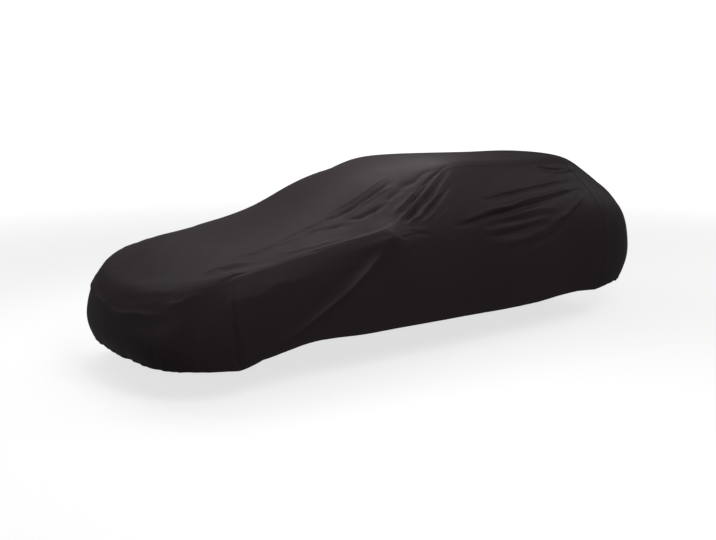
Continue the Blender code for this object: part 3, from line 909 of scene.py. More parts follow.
@dataclass
class Drape:
    """One half of the cover as it hangs: the smooth form with all its creases.

    Points are worked out on the left, whichever side this is. Distances along
    and down the smooth form are kept in tables by column and ring.
    """

    side: Side
    form: DrapedForm
    mirror: MirrorTent = MirrorTent()
    seam: SeamLine = SeamLine()
    hem: HemLine = HemLine()
    fold: FoldShape = FoldShape()
    crinkle: CrinkleShape = CrinkleShape()
    column_steps: int = 24
    ring_steps: int = 12
    table_inset: float = 0.001
    crease_seed_step: int = 31
    hem_seed_step: int = 3
    crest_height: float = 0.012
    end_blend: float = 2.0
    seed: int = field(init=False)
    creases: tuple[Crease, ...] = field(init=False)
    last_column: int = field(init=False)
    front_place: np.ndarray = field(init=False)
    along_run: np.ndarray = field(init=False)
    down_run: np.ndarray = field(init=False)

    def __post_init__(self) -> None:
        """Picks the side's creases, and works out the runs along the seam and hem."""
        self.seed = SIDE_SEEDS[self.side]
        left = self.side is Side.LEFT
        self.creases = LEFT_CREASES if left else RIGHT_CREASES + FarFolds().creases()
        self.last_column = len(self.form.control_net()) - 1
        columns = np.linspace(0.0, self.last_column, self.column_steps * self.last_column + 1)
        rings = np.linspace(0.0, Ring.HEM.value, self.ring_steps * Ring.HEM.value + 1)
        smooth, _ = self.form.surface(*np.meshgrid(columns, rings, indexing="ij"))
        self.front_place = smooth[..., 0]
        along = np.linalg.norm(np.diff(smooth, axis=0), axis=-1)
        down = np.linalg.norm(np.diff(smooth, axis=1), axis=-1)
        self.along_run = np.vstack([np.zeros((1, along.shape[1])), np.cumsum(along, axis=0)])
        self.down_run = np.hstack([np.zeros((down.shape[0], 1)), np.cumsum(down, axis=1)])

    def looked_up(self, table: np.ndarray, u: np.ndarray, v: np.ndarray) -> np.ndarray:
        """Values of a fine table at column and ring places.

        Args:
            table: Values by column and ring, as the runs are kept.
            u: Column place of each point.
            v: Ring place of each point.

        Returns:
            One value a point.
        """
        cells, rows = (count - 1 for count in table.shape)
        x = np.clip(u / self.last_column * cells, 0, cells - self.table_inset)
        y = np.clip(v / Ring.HEM.value * rows, 0, rows - self.table_inset)
        i = x.astype(int)
        j = y.astype(int)
        s = x - i
        t = y - j
        near = table[i, j] * (1.0 - t) + table[i, j + 1] * t
        far = table[i + 1, j] * (1.0 - t) + table[i + 1, j + 1] * t
        return near * (1.0 - s) + far * s

    @staticmethod
    def lean(columns: np.ndarray, rows: np.ndarray) -> tuple[np.ndarray, np.ndarray]:
        """Column and ring place of each mesh point, leaning along the long creases.

        Args:
            columns: Column places.
            rows: Ring places.

        Returns:
            The two places of each point.
        """
        u, v = np.meshgrid(columns, rows, indexing="ij")
        below = np.clip((v - Ring.BELT.value) / (Ring.HEM.value - Ring.BELT.value), 0.0, 1.0)
        rings = (Ring.SEAM.value, Ring.BELT.value, Ring.HEM.value)
        among = np.interp(v, rings, (0.0, 1.0, 0.0))
        forward = np.interp(u, [x.place for x in COLUMN_LEANS], [x.shift for x in COLUMN_LEANS])
        upward = np.interp(u, [x.place for x in ROW_LEANS], [x.shift for x in ROW_LEANS])
        return u - forward * below, v - upward * among

    def hang(self, columns: np.ndarray, rows: np.ndarray) -> Hanging:
        """The cloth on a grid of column and ring places."""
        return self.hang_at(*self.lean(columns, rows))

    def hang_at(self, u: np.ndarray, v: np.ndarray) -> Hanging:
        """The cloth at any places.

        Args:
            u: Column place of each point.
            v: Ring place of each point.

        Returns:
            The points, normals and cloth measures.
        """
        smooth, normals = self.form.surface(u, v)
        folded = self.fold_heights(smooth.reshape(-1, 3), normals.reshape(-1, 3))
        crest = np.clip(folded / self.crest_height, 0.0, 1.0).reshape(u.shape)
        crinkled = self.crinkle.height(smooth.reshape(-1, 3), normals.reshape(-1, 3), self.seed)
        height = (folded + crinkled).reshape(u.shape)
        at_seam = np.full_like(v, Ring.SEAM.value)
        at_hem = np.full_like(v, Ring.HEM.value)
        down = self.looked_up(self.down_run, u, v)
        to_seam = down - self.looked_up(self.down_run, u, at_seam)
        to_hem = self.looked_up(self.down_run, u, at_hem) - down
        seam_run = self.looked_up(self.along_run, u, at_seam)
        hem_run = self.looked_up(self.along_run, u, at_hem)
        seam_front = self.looked_up(self.front_place, u, at_seam)
        height += self.seam.height(to_seam, seam_front, seam_run)
        height += self.hem.height(to_hem, hem_run, self.end_share(u), self.seed + self.hem_seed_step)
        points = smooth + normals * height[..., None] + self.mirror.shift(smooth)
        points[..., 2] += self.hem_lift(smooth[..., 0], v)
        along = self.looked_up(self.along_run, u, v)
        middle = self.looked_up(self.along_run, np.full_like(u, 0.5 * self.last_column), v)
        cloth = np.stack([along - middle, down], axis=-1)
        return Hanging(points, normals, cloth, crest, self.hem.turned(to_hem))

    def fold_heights(self, points: np.ndarray, normals: np.ndarray) -> np.ndarray:
        """How far all the creases of this half move each point.

        Args:
            points: Points of the smooth form, one a row.
            normals: Their normals.

        Returns:
            The move along the normal, one a point.
        """
        height = np.zeros(len(points))
        for index, crease in enumerate(self.creases):
            seed = self.seed + self.crease_seed_step * index
            height += self.fold.height(points, normals, crease, seed)
        return height

    def end_share(self, u: np.ndarray) -> np.ndarray:
        """How much each column belongs to the nose or the tail.

        Args:
            u: Column place of each point.

        Returns:
            1 beyond an upright seam and 0 along the side, with a blend between.
        """
        half = 0.5 * self.end_blend
        front = soft_step((self.form.front_seam + half - u) / self.end_blend)
        rear = soft_step((u - self.form.rear_seam + half) / self.end_blend)
        return np.maximum(front, rear)

    def hem_lift(self, x: np.ndarray, v: np.ndarray) -> np.ndarray:
        """How far the cloth rides up near the hem.

        Args:
            x: X of each point.
            v: Its ring place.

        Returns:
            The move along Z.
        """
        low = np.clip((v - Ring.SIDE.value) / (Ring.HEM.value - Ring.SIDE.value), 0.0, 1.0)
        left = self.side is Side.LEFT
        places = [row.x for row in reversed(HEM_LIFTS)]
        lifts = [row.left if left else row.right for row in reversed(HEM_LIFTS)]
        return np.interp(x, places, lifts) * low**2


@dataclass(frozen=True)
class ClothSheet:
    """The cloth itself: how thick it is, how the seams lap, where it is rubbed, and where a highlight is
    painted on the crests of creases.
    """

    thickness: float = 0.0009
    lap: float = 0.011
    lap_rise: float = 0.0011
    lap_step: float = 0.006
    # Painted highlight: how much paler the crests of creases are drawn
    crest_highlight: float = 0.25
    lap_rub: float = 0.04
    hem_rub: float = 0.12

    def rub(self, grid: Hanging, lap: np.ndarray | float) -> np.ndarray:
        """How much each point is paled: by wear along the laps and the hem, and by a painted highlight on
        the crests of creases.

        Args:
            grid: The hanging cloth.
            lap: How much each point belongs to the lap over a seam, from 0 to 1.

        Returns:
            A value from 0 to 1 for each point.
        """
        # Crests of creases get a painted highlight; the laps and the hem are worn
        rub = self.crest_highlight * grid.crest + self.lap_rub * lap + self.hem_rub * grid.hem
        return np.clip(rub, 0.0, 1.0)


def opaque(colour: Colour) -> tuple[float, float, float, float]:
    """The colour as a node's socket takes it."""
    return (*colour, 1.0)


@dataclass(frozen=True)
class NodeBench:
    """Adds nodes to a tree and feeds their sockets."""

    tree: bpy.types.NodeTree

    def feed(self, node: bpy.types.Node, feeds: dict[str | int, Feed]) -> None:
        """Links or sets several sockets of a node.

        Args:
            node: The node.
            feeds: What each socket gets, by the socket's name or number.
        """
        for socket, value in feeds.items():
            if isinstance(value, bpy.types.NodeSocket):
                self.tree.links.new(value, node.inputs[socket])
            else:
                node.inputs[socket].default_value = value

    def node(self, kind: str, feeds: dict[str | int, Feed], **choices: str) -> bpy.types.Node:
        """Adds a node.

        Args:
            kind: Blender's name of the type of node.
            feeds: What each of its sockets gets.
            **choices: Its own settings, such as the operation of a math node.

        Returns:
            The node.
        """
        node = self.tree.nodes.new(kind)
        for name, choice in choices.items():
            setattr(node, name, choice)
        self.feed(node, feeds)
        return node

    def noise(self, vector: bpy.types.NodeSocket, grain: Grain) -> bpy.types.NodeSocket:
        """Adds a noise texture.

        Args:
            vector: What it is laid out on.
            grain: Its repeats and layers.

        Returns:
            Its value from 0 to 1.
        """
        feeds = {"Vector": vector, "Scale": grain.scale, "Detail": grain.detail}
        return self.node("ShaderNodeTexNoise", feeds).outputs["Fac"]

    def math(self, kind: str, *values: Feed) -> bpy.types.NodeSocket:
        """Adds a math node.

        Args:
            kind: Blender's name of the operation.
            *values: What each of its sockets gets.

        Returns:
            Its result.
        """
        return self.node("ShaderNodeMath", dict(enumerate(values)), operation=kind).outputs[0]

    def mixed(self, share: bpy.types.NodeSocket, first: Feed, second: Feed) -> bpy.types.NodeSocket:
        """Adds a mix of two colours.

        Args:
            share: How much of the second colour, from 0 to 1.
            first: Colour at 0.
            second: Colour at 1.

        Returns:
            The mixed colour.
        """
        feeds = {"Factor": share, "A": first, "B": second}
        return self.node("ShaderNodeMix", feeds, data_type="RGBA").outputs["Result"]

    def ranged(
        self,
        value: bpy.types.NodeSocket,
        given: tuple[float, float],
        wanted: tuple[float, float],
        **choices: str,
    ) -> bpy.types.NodeSocket:
        """Adds a node that moves a value from one range to another.

        Args:
            value: The value.
            given: Its least and most.
            wanted: The least and most that they become.
            **choices: The node's own settings.

        Returns:
            The moved value.
        """
        feeds = {
            "Value": value,
            "From Min": given[0],
            "From Max": given[1],
            "To Min": wanted[0],
            "To Max": wanted[1],
        }
        return self.node("ShaderNodeMapRange", feeds, **choices).outputs["Result"]

    def bump(
        self, height: bpy.types.NodeSocket, depth: float, below: bpy.types.NodeSocket | None = None
    ) -> bpy.types.NodeSocket:
        """Adds a bump.

        Args:
            height: Height, as a share of the depth.
            depth: Metres that a height of 1 stands for.
            below: A bump that this one lies on, if any.

        Returns:
            The bumped normal.
        """
        feeds = {"Strength": 1.0, "Distance": depth, "Height": height}
        if below is not None:
            feeds["Normal"] = below
        return self.node("ShaderNodeBump", feeds).outputs["Normal"]


def new_finish(name: str) -> tuple[bpy.types.Material, NodeBench, bpy.types.Node]:
    """Makes a material that has its shader alone.

    Args:
        name: Name of the material.

    Returns:
        The material, what adds nodes to it, and its shader.
    """
    material = bpy.data.materials.new(name)
    material.use_nodes = True
    tree = material.node_tree
    return material, NodeBench(tree), tree.nodes["Principled BSDF"]


@dataclass(frozen=True)
class SatinWeave:
    """Near-black woven polyester with a soft satin gloss."""

    name: str
    dark: Colour = (0.0234, 0.0162, 0.0181)
    light: Colour = (0.0316, 0.0232, 0.0252)
    # Colour of worn edges, also used for the painted highlight on crease crests
    worn_and_highlight: Colour = (0.0384, 0.0296, 0.0318)
    tone: Grain = Grain(1.7, 3.0)
    streak: Grain = Grain(1.0, 2.0)
    streak_stretch: tuple[float, float, float] = (3.0, 90.0, 1.0)
    streak_share: float = 0.35
    gloss: float = 0.075
    smooth: float = 0.42
    rough: float = 0.50
    polish: Grain = Grain(6.0, 4.0)
    polish_range: tuple[float, float] = (0.25, 0.75)
    crumple: Grain = Grain(7.0, 2.0)
    crumple_depth: float = 0.0016
    crinkle: Grain = Grain(38.0, 3.0)
    crinkle_depth: float = 0.00035
    thread_pitch: float = 0.0011
    weave_depth: float = 0.00006

    def build(self) -> bpy.types.Material:
        """Makes the material.

        Returns:
            A material that reads the cloth measures from the UV map, and from the attribute named rub the
            wear at the edges and the painted highlight on crease crests.
        """
        material, bench, shader = new_finish(self.name)
        coords = bench.node("ShaderNodeTexCoord", {}).outputs
        polish = bench.noise(coords["Object"], self.polish)
        feeds = {
            "Metallic": 0.0,
            "Specular IOR Level": self.gloss,
            "Base Color": self.colour(bench, coords["Object"], coords["UV"]),
            "Roughness": bench.ranged(polish, self.polish_range, (self.smooth, self.rough)),
            "Normal": self.relief(bench, coords["Object"], coords["UV"]),
        }
        bench.feed(shader, feeds)
        return material

    def colour(
        self, bench: NodeBench, place: bpy.types.NodeSocket, cloth: bpy.types.NodeSocket
    ) -> bpy.types.NodeSocket:
        """Adds the colour: two tones with streaks along the cloth, paler where it is worn and where a
        highlight is painted on crease crests.

        Args:
            bench: What adds nodes to the material.
            place: Place on the cover.
            cloth: Measures along and down the cloth, in metres.

        Returns:
            The colour.
        """
        tone = bench.noise(place, self.tone)
        stretched = bench.node("ShaderNodeMapping", {"Vector": cloth, "Scale": self.streak_stretch})
        streak = bench.noise(stretched.outputs["Vector"], self.streak)
        share = bench.math("MULTIPLY_ADD", streak, self.streak_share, tone)
        clean = bench.mixed(share, opaque(self.dark), opaque(self.light))
        # Paler with wear at the laps and the hem, and with a painted highlight on crease crests
        rub = bench.node("ShaderNodeAttribute", {}, attribute_name="rub").outputs["Fac"]
        return bench.mixed(rub, clean, opaque(self.worn_and_highlight))

    def relief(
        self, bench: NodeBench, place: bpy.types.NodeSocket, cloth: bpy.types.NodeSocket
    ) -> bpy.types.NodeSocket:
        """Adds soft crumples, small crinkles on them, and a plain weave on both.

        Args:
            bench: What adds nodes to the material.
            place: Place on the cover.
            cloth: Measures along and down the cloth, in metres.

        Returns:
            The bumped normal.
        """
        crumple = bench.bump(bench.noise(place, self.crumple), self.crumple_depth)
        crinkle = bench.bump(bench.noise(place, self.crinkle), self.crinkle_depth, crumple)
        threads = bench.node("ShaderNodeSeparateXYZ", {"Vector": cloth}).outputs
        turns = 2.0 * np.pi / self.thread_pitch
        warp = bench.math("SINE", bench.math("MULTIPLY", threads["X"], turns))
        weft = bench.math("SINE", bench.math("MULTIPLY", threads["Y"], turns))
        return bench.bump(bench.math("MULTIPLY", warp, weft), self.weave_depth, crinkle)


@dataclass(frozen=True)
class SewingThread:
    """Spun polyester thread in the cloth's own near-black, with a fine twist."""

    name: str = "sewing_thread"
    colour: Colour = (0.0260, 0.0200, 0.0215)
    shade: float = 0.7
    roughness: float = 0.62
    tone: Grain = Grain(220.0, 2.0)
    twist: Grain = Grain(900.0, 1.0)
    twist_depth: float = 0.0002

    def build(self) -> bpy.types.Material:
        """Makes the material.

        Returns:
            The material, laid out on the thread's place.
        """
        material, bench, shader = new_finish(self.name)
        place = bench.node("ShaderNodeTexCoord", {}).outputs["Object"]
        darker = tuple(self.shade * part for part in self.colour)
        tone = bench.noise(place, self.tone)
        feeds = {
            "Base Color": bench.mixed(tone, opaque(darker), opaque(self.colour)),
            "Roughness": self.roughness,
            "Normal": bench.bump(bench.noise(place, self.twist), self.twist_depth),
        }
        bench.feed(shader, feeds)
        return material


def in_scene(thing: bpy.types.Object) -> bpy.types.Object:
    """Puts an object in the scene.

    Args:
        thing: The object.

    Returns:
        The same object.
    """
    bpy.context.scene.collection.objects.link(thing)
    return thing


def plain_copy(source: bpy.types.Object, name: str) -> bpy.types.Object:
    """Turns an object with modifiers into a plain mesh object and removes the source.

    Args:
        source: The object to convert.
        name: Name of the result.

    Returns:
        The plain object, at the origin.
    """
    graph = bpy.context.evaluated_depsgraph_get()
    mesh = bpy.data.meshes.new_from_object(source.evaluated_get(graph), depsgraph=graph)
    bpy.data.objects.remove(source, do_unlink=True)
    mesh.name = name
    return in_scene(bpy.data.objects.new(name, mesh))


@dataclass
class PanelMesh:
    """Gathers grids of cloth points into one open sheet, then gives it its thickness."""

    name: str
    weld_gap: float = 0.00002
    points: list[np.ndarray] = field(default_factory=list)
    cloth: list[np.ndarray] = field(default_factory=list)
    rub: list[np.ndarray] = field(default_factory=list)
    faces: list[np.ndarray] = field(default_factory=list)
    count: int = 0

    def add(self, grid: Hanging, rub: np.ndarray, cells: np.ndarray, side: Side) -> None:
        """Adds the chosen cells of a grid.

        Args:
            grid: The hanging cloth, on the left.
            rub: How much each point is paled by wear and by the painted highlight on crease crests, from 0
                to 1.
            cells: Which cells of the grid belong to this sheet.
            side: The half it belongs to; the right one is mirrored.
        """
        columns, rows = cells.shape
        index = self.count + np.arange((columns + 1) * (rows + 1)).reshape(columns + 1, rows + 1)
        quads = np.stack([index[:-1, :-1], index[:-1, 1:], index[1:, 1:], index[1:, :-1]], axis=-1)
        quads = quads[cells]
        if side is Side.RIGHT:
            quads = quads[:, ::-1]
        self.faces.append(quads)
        self.points.append(grid.points.reshape(-1, 3) * (1.0, side.sign, 1.0))
        self.cloth.append(grid.cloth.reshape(-1, 2) * (1.0, side.sign))
        self.rub.append(rub.reshape(-1))
        self.count += (columns + 1) * (rows + 1)

    def build(self, thickness: float, material: bpy.types.Material) -> bpy.types.Object:
        """Makes the piece.

        Args:
            thickness: Thickness of the cloth, laid outwards.
            material: Its finish.

        Returns:
            A plain closed mesh object in the frame of the solids.
        """
        points = np.concatenate(self.points) - np.array(COVER_ORIGIN)
        cloth = np.concatenate(self.cloth)
        rub = np.concatenate(self.rub)
        used, faces = np.unique(np.concatenate(self.faces), return_inverse=True)
        faces = faces.reshape(-1, 4)
        mesh = bpy.data.meshes.new(self.name)
        mesh.from_pydata(points[used].tolist(), [], faces.tolist())
        layer = mesh.uv_layers.new(name="cloth")
        layer.data.foreach_set("uv", cloth[used][faces.reshape(-1)].astype(np.float32).ravel())
        attribute = mesh.attributes.new("rub", "FLOAT", "POINT")
        attribute.data.foreach_set("value", rub[used].astype(np.float32))
        mesh.materials.append(material)
        mesh.shade_smooth()
        sheet = in_scene(bpy.data.objects.new(self.name, mesh))
        weld = sheet.modifiers.new("middle", "WELD")
        weld.merge_threshold = self.weld_gap
        shell = sheet.modifiers.new("cloth", "SOLIDIFY")
        shell.thickness = thickness
        shell.offset = 1.0
        shell.use_rim = True
        return plain_copy(sheet, self.name)


def spread(spans: tuple[int, ...], start: float) -> np.ndarray:
    """Places along the net, with the given spans in each step.

    Args:
        spans: Spans between one control column or ring and the next.
        start: Place of the first point.

    Returns:
        The places.
    """
    places = [start]
    for step, count in enumerate(spans):
        places += [start + step + (k + 1) / count for k in range(count)]
    return np.array(places)


def merged(*places: np.ndarray | list[float]) -> np.ndarray:
    """All the places in rising order, each once."""
    return np.unique(np.concatenate(places))


@dataclass
class MiddlePanel:
    """The panel over the nose, bonnet, windscreen, roof and tail."""

    drapes: dict[Side, Drape]
    cloth: ClothSheet
    name: str = "cloth_middle_panel"
    end_spans: int = 13
    flank_spans: tuple[int, ...] = (14, 16, 18, 22, 24, 22, 18, 16, 14, 14, 14)
    top_spans: tuple[int, ...] = (12, 26, 18)
    wall_spans: tuple[int, ...] = (11, 13, 16, 12, 9)
    columns: np.ndarray = field(init=False)
    rows: np.ndarray = field(init=False)
    front: int = field(init=False)
    rear: int = field(init=False)
    seam: int = field(init=False)

    def __post_init__(self) -> None:
        """Works out the grid of half the panel, and where the seams lie in it."""
        form = self.drapes[Side.LEFT].form
        ends = (self.end_spans,) * (len(form.end_angles) - 1)
        laps = np.array(LAP_COLUMNS)
        spaced = spread(ends + self.flank_spans + ends, 0.0)
        self.columns = merged(spaced, form.front_seam - laps, form.rear_seam + laps)
        over_seam = Ring.SEAM.value - np.array(LAP_RINGS)
        over_hem = Ring.HEM.value - np.array(BAND_LINES)
        self.rows = merged(spread(self.top_spans + self.wall_spans, 0.0), over_seam, over_hem)
        self.front = int(np.argmin(np.abs(self.columns - form.front_seam)))
        self.rear = int(np.argmin(np.abs(self.columns - form.rear_seam)))
        self.seam = int(np.argmin(np.abs(self.rows - Ring.SEAM.value)))

    def cells(self) -> np.ndarray:
        """Picks the cells of the half grid that belong to this panel.

        Returns:
            True for each such cell, by column and row.
        """
        cells = np.ones((len(self.columns) - 1, len(self.rows) - 1), bool)
        cells[self.front : self.rear, self.seam :] = False
        return cells

    def lap(self, points: np.ndarray) -> np.ndarray:
        """Finds the strip along the panel's sewn edge that laps over the side panel.

        Args:
            points: The hanging points of one half.

        Returns:
            How much each point belongs to the strip, from 0 to 1.
        """
        column = np.clip(np.arange(len(self.columns)), self.front, self.rear)
        row = np.clip(np.arange(len(self.rows)), self.seam, None)
        edge = points[column[:, None], row[None, :]]
        gap = np.linalg.norm(points - edge, axis=-1)
        return soft_step((self.cloth.lap - gap) / self.cloth.lap_step)

    def build(self, material: bpy.types.Material) -> bpy.types.Object:
        """Makes the panel from its two halves, which meet in the middle plane.

        Args:
            material: Its finish.

        Returns:
            The finished piece.
        """
        grids = {side: drape.hang(self.columns, self.rows) for side, drape in self.drapes.items()}
        left, right = grids[Side.LEFT], grids[Side.RIGHT]
        for edge in ((slice(None), 0), (0, slice(None)), (-1, slice(None))):
            middle = 0.5 * (left.points[edge] + right.points[edge])
            middle[..., 1] = 0.0
            left.points[edge] = middle
            right.points[edge] = middle
        panel = PanelMesh(self.name)
        for side, grid in grids.items():
            lap = self.lap(grid.points)
            grid.points[...] += grid.normals * (self.cloth.lap_rise * lap)[..., None]
            panel.add(grid, self.cloth.rub(grid, lap), self.cells(), side)
        return panel.build(self.cloth.thickness, material)


@dataclass
class SidePanel:
    """A panel that hangs from the long seam down one side, with the mirror's bulge in it."""

    drape: Drape
    cloth: ClothSheet
    flank_spans: tuple[int, ...] = (24, 26, 28, 32, 34, 34, 34, 34, 32, 28, 24)
    wall_spans: tuple[int, ...] = (24, 26, 20, 14, 12)
    name: str = field(init=False)
    columns: np.ndarray = field(init=False)
    rows: np.ndarray = field(init=False)

    def __post_init__(self) -> None:
        """Names the panel, and works out its grid."""
        self.name = f"cloth_{self.drape.side.name.lower()}_panel"
        form = self.drape.form
        tucked = [form.front_seam - LAP_COLUMNS[-1], form.rear_seam + LAP_COLUMNS[-1]]
        self.columns = merged(spread(self.flank_spans, form.front_seam), tucked)
        over_hem = Ring.HEM.value - np.array(BAND_LINES)
        under_lap = [Ring.SEAM.value - LAP_RINGS[-1]]
        self.rows = merged(spread(self.wall_spans, Ring.SEAM.value), under_lap, over_hem)

    def build(self, material: bpy.types.Material) -> bpy.types.Object:
        """Makes the panel.

        Args:
            material: Its finish.

        Returns:
            The finished piece.
        """
        grid = self.drape.hang(self.columns, self.rows)
        cells = np.ones((len(self.columns) - 1, len(self.rows) - 1), bool)
        panel = PanelMesh(self.name)
        panel.add(grid, self.cloth.rub(grid, 0.0), cells, self.drape.side)
        return panel.build(self.cloth.thickness, material)


@dataclass(frozen=True)
class StitchTool:
    """Lays stitches along paths with Geometry Nodes."""

    pitch: float = 0.0062
    length: float = 0.0046
    thread: float = 0.0009
    smallest: float = 0.88
    largest: float = 1.10
    seed: int = 7

    def tree(self) -> bpy.types.NodeTree:
        """Builds the node tree.

        Returns:
            A tree with named inputs for the paths, the sizes of a stitch, the seed
            and the finish.
        """
        tree = bpy.data.node_groups.new("stitch_rows", "GeometryNodeTree")
        bench = NodeBench(tree)
        face = tree.interface
        face.new_socket("Paths", in_out="INPUT", socket_type="NodeSocketGeometry")
        for name in ("Pitch", "Length", "Thread"):
            face.new_socket(name, in_out="INPUT", socket_type="NodeSocketFloat")
        face.new_socket("Seed", in_out="INPUT", socket_type="NodeSocketInt")
        face.new_socket("Finish", in_out="INPUT", socket_type="NodeSocketMaterial")
        face.new_socket("Stitches", in_out="OUTPUT", socket_type="NodeSocketGeometry")
        given = bench.node("NodeGroupInput", {}).outputs
        lines = bench.node("GeometryNodeMeshToCurve", {"Mesh": given["Paths"]})
        feeds = {"Curve": lines.outputs["Curve"], "Length": given["Pitch"]}
        steps = bench.node("GeometryNodeResampleCurve", feeds, mode="LENGTH")
        # A ball 1 m across takes the stitch's length and thickness as its scale
        ball = bench.node("GeometryNodeMeshIcoSphere", {"Radius": 0.5, "Subdivisions": 1})
        feeds = {"X": given["Length"], "Y": given["Thread"], "Z": given["Thread"]}
        size = bench.node("ShaderNodeCombineXYZ", feeds)
        feeds = {"Geometry": ball.outputs["Mesh"], "Scale": size.outputs["Vector"]}
        stitch = bench.node("GeometryNodeTransform", feeds)
        tangent = bench.node("GeometryNodeInputTangent", {})
        feeds = {"Vector": tangent.outputs["Tangent"]}
        turn = bench.node("FunctionNodeAlignRotationToVector", feeds, axis="X")
        feeds = {
            "Points": steps.outputs["Curve"],
            "Instance": stitch.outputs["Geometry"],
            "Rotation": turn.outputs["Rotation"],
            "Scale": self.uneven_size(bench, given["Seed"]),
        }
        placed = bench.node("GeometryNodeInstanceOnPoints", feeds)
        feeds = {"Geometry": placed.outputs["Instances"]}
        real = bench.node("GeometryNodeRealizeInstances", feeds)
        feeds = {"Geometry": real.outputs["Geometry"], "Material": given["Finish"]}
        dressed = bench.node("GeometryNodeSetMaterial", feeds)
        bench.node("NodeGroupOutput", {"Stitches": dressed.outputs["Geometry"]})
        return tree

    def uneven_size(self, bench: NodeBench, seed: bpy.types.NodeSocket) -> bpy.types.NodeSocket:
        """Adds the random share by which each stitch is smaller or larger.

        Args:
            bench: What adds nodes to the tree.
            seed: The tree's seed.

        Returns:
            The share.
        """
        vary = bench.node("FunctionNodeRandomValue", {"Seed": seed}, data_type="FLOAT")
        limits = [socket for socket in vary.inputs if socket.type == "VALUE"]
        limits[0].default_value = self.smallest
        limits[1].default_value = self.largest
        return [socket for socket in vary.outputs if socket.type == "VALUE"][0]

    def sew(
        self,
        name: str,
        paths: list[np.ndarray],
        tree: bpy.types.NodeTree,
        finish: bpy.types.Material,
    ) -> bpy.types.Object:
        """Lays stitches along the paths.

        Args:
            name: Name of the piece.
            paths: Points of each path, in the frame of the solids.
            tree: The node tree from tree().
            finish: The thread's material.

        Returns:
            The stitches as one plain mesh object.
        """
        edges = []
        first = 0
        for path in paths:
            edges += [(first + k, first + k + 1) for k in range(len(path) - 1)]
            first += len(path)
        mesh = bpy.data.meshes.new(name)
        mesh.from_pydata(np.concatenate(paths).tolist(), edges, [])
        lines = in_scene(bpy.data.objects.new(name, mesh))
        modifier = lines.modifiers.new("stitches", "NODES")
        modifier.node_group = tree
        values = {
            "Pitch": self.pitch,
            "Length": self.length,
            "Thread": self.thread,
            "Seed": self.seed,
            "Finish": finish,
        }
        for item in tree.interface.items_tree:
            if item.in_out == "INPUT" and item.name in values:
                modifier[item.identifier] = values[item.name]
        return plain_copy(lines, name)


@dataclass(frozen=True)
class Sewing:
    """The rows of stitches: two along each seam, and one round the hem."""

    drapes: dict[Side, Drape]
    cloth: ClothSheet
    tool: StitchTool
    seam_insets: tuple[float, float] = (0.0025, 0.0085)
    hem_inset: float = 0.021
    long_points: int = 700
    upright_points: int = 160
    hem_points: int = 1400
    probe: float = 0.02

    def row(
        self,
        drape: Drape,
        u: np.ndarray,
        v: np.ndarray,
        toward: tuple[float, float],
        inset: float,
        rise: float,
    ) -> np.ndarray:
        """Points of one row of stitches.

        Args:
            drape: The half that it lies on.
            u: Column place of each point of the edge that it follows.
            v: Ring place of each point of that edge.
            toward: Step in column and ring place away from the edge, into the cloth.
            inset: Distance of the row from the edge.
            rise: How far the outer face stands over the form.

        Returns:
            The points, in the frame of the solids.
        """
        probed = (u + self.probe * toward[0], v + self.probe * toward[1])
        edge, _ = drape.form.surface(u[:, None], v[:, None])
        inner, _ = drape.form.surface(probed[0][:, None], probed[1][:, None])
        reach = np.linalg.norm(inner - edge, axis=-1)[:, 0]
        part = self.probe * inset / np.maximum(reach, 1e-6)
        hung = drape.hang_at((u + part * toward[0])[:, None], (v + part * toward[1])[:, None])
        points = (hung.points + rise * hung.normals)[:, 0]
        return points * (1.0, drape.side.sign, 1.0) - np.array(COVER_ORIGIN)

    def seam_rows(self) -> list[np.ndarray]:
        """Lays out two rows along each long seam and each upright seam, on both sides.

        Returns:
            The points of each row.
        """
        rise = self.cloth.lap_rise + self.cloth.thickness
        form = self.drapes[Side.LEFT].form
        long_u = np.linspace(form.front_seam, form.rear_seam, self.long_points)
        long_v = np.full_like(long_u, Ring.SEAM.value)
        upright_v = np.linspace(Ring.SEAM.value, Ring.HEM.value, self.upright_points)[1:]
        front_u = np.full_like(upright_v, form.front_seam)
        rear_u = np.full_like(upright_v, form.rear_seam)
        rows = []
        for drape in self.drapes.values():
            for inset in self.seam_insets:
                rows.append(self.row(drape, long_u, long_v, (0.0, -1.0), inset, rise))
                rows.append(self.row(drape, front_u, upright_v, (-1.0, 0.0), inset, rise))
                rows.append(self.row(drape, rear_u, upright_v, (1.0, 0.0), inset, rise))
        return rows

    def hem_rows(self) -> list[np.ndarray]:
        """Lays out one row round the hem, on both sides.

        Returns:
            The points of each side's row.
        """
        rows = []
        for drape in self.drapes.values():
            u = np.linspace(0.0, drape.last_column, self.hem_points)
            v = np.full_like(u, Ring.HEM.value)
            rows.append(self.row(drape, u, v, (0.0, -1.0), self.hem_inset, self.cloth.thickness))
        return rows

    def build(self, finish: bpy.types.Material) -> tuple[bpy.types.Object, bpy.types.Object]:
        """Sews the seams and the hem.

        Args:
            finish: The thread's material.

        Returns:
            The stitches of the seams, and those of the hem.
        """
        tree = self.tool.tree()
        seams = self.tool.sew("seam_stitches", self.seam_rows(), tree, finish)
        hem = self.tool.sew("hem_stitches", self.hem_rows(), tree, finish)
        return seams, hem


@dataclass(frozen=True)
class Softbox:
    """A soft studio light: where it hangs, what it points at, its size and power."""

    name: str
    place: Place
    aim: Place
    width: float
    length: float
    power: float

    def build(self) -> bpy.types.Object:
        """Makes the light, in the frame of the solids.

        Returns:
            The light, which the camera doesn't see.
        """
        lamp = bpy.data.lights.new(self.name, "AREA")
        lamp.shape = "RECTANGLE"
        lamp.size = self.width
        lamp.size_y = self.length
        lamp.energy = self.power
        light = bpy.data.objects.new(self.name, lamp)
        light.location = self.place
        toward = Vector(self.aim) - Vector(self.place)
        light.rotation_euler = toward.to_track_quat("-Z", "Y").to_euler()
        light.visible_camera = False
        return in_scene(light)


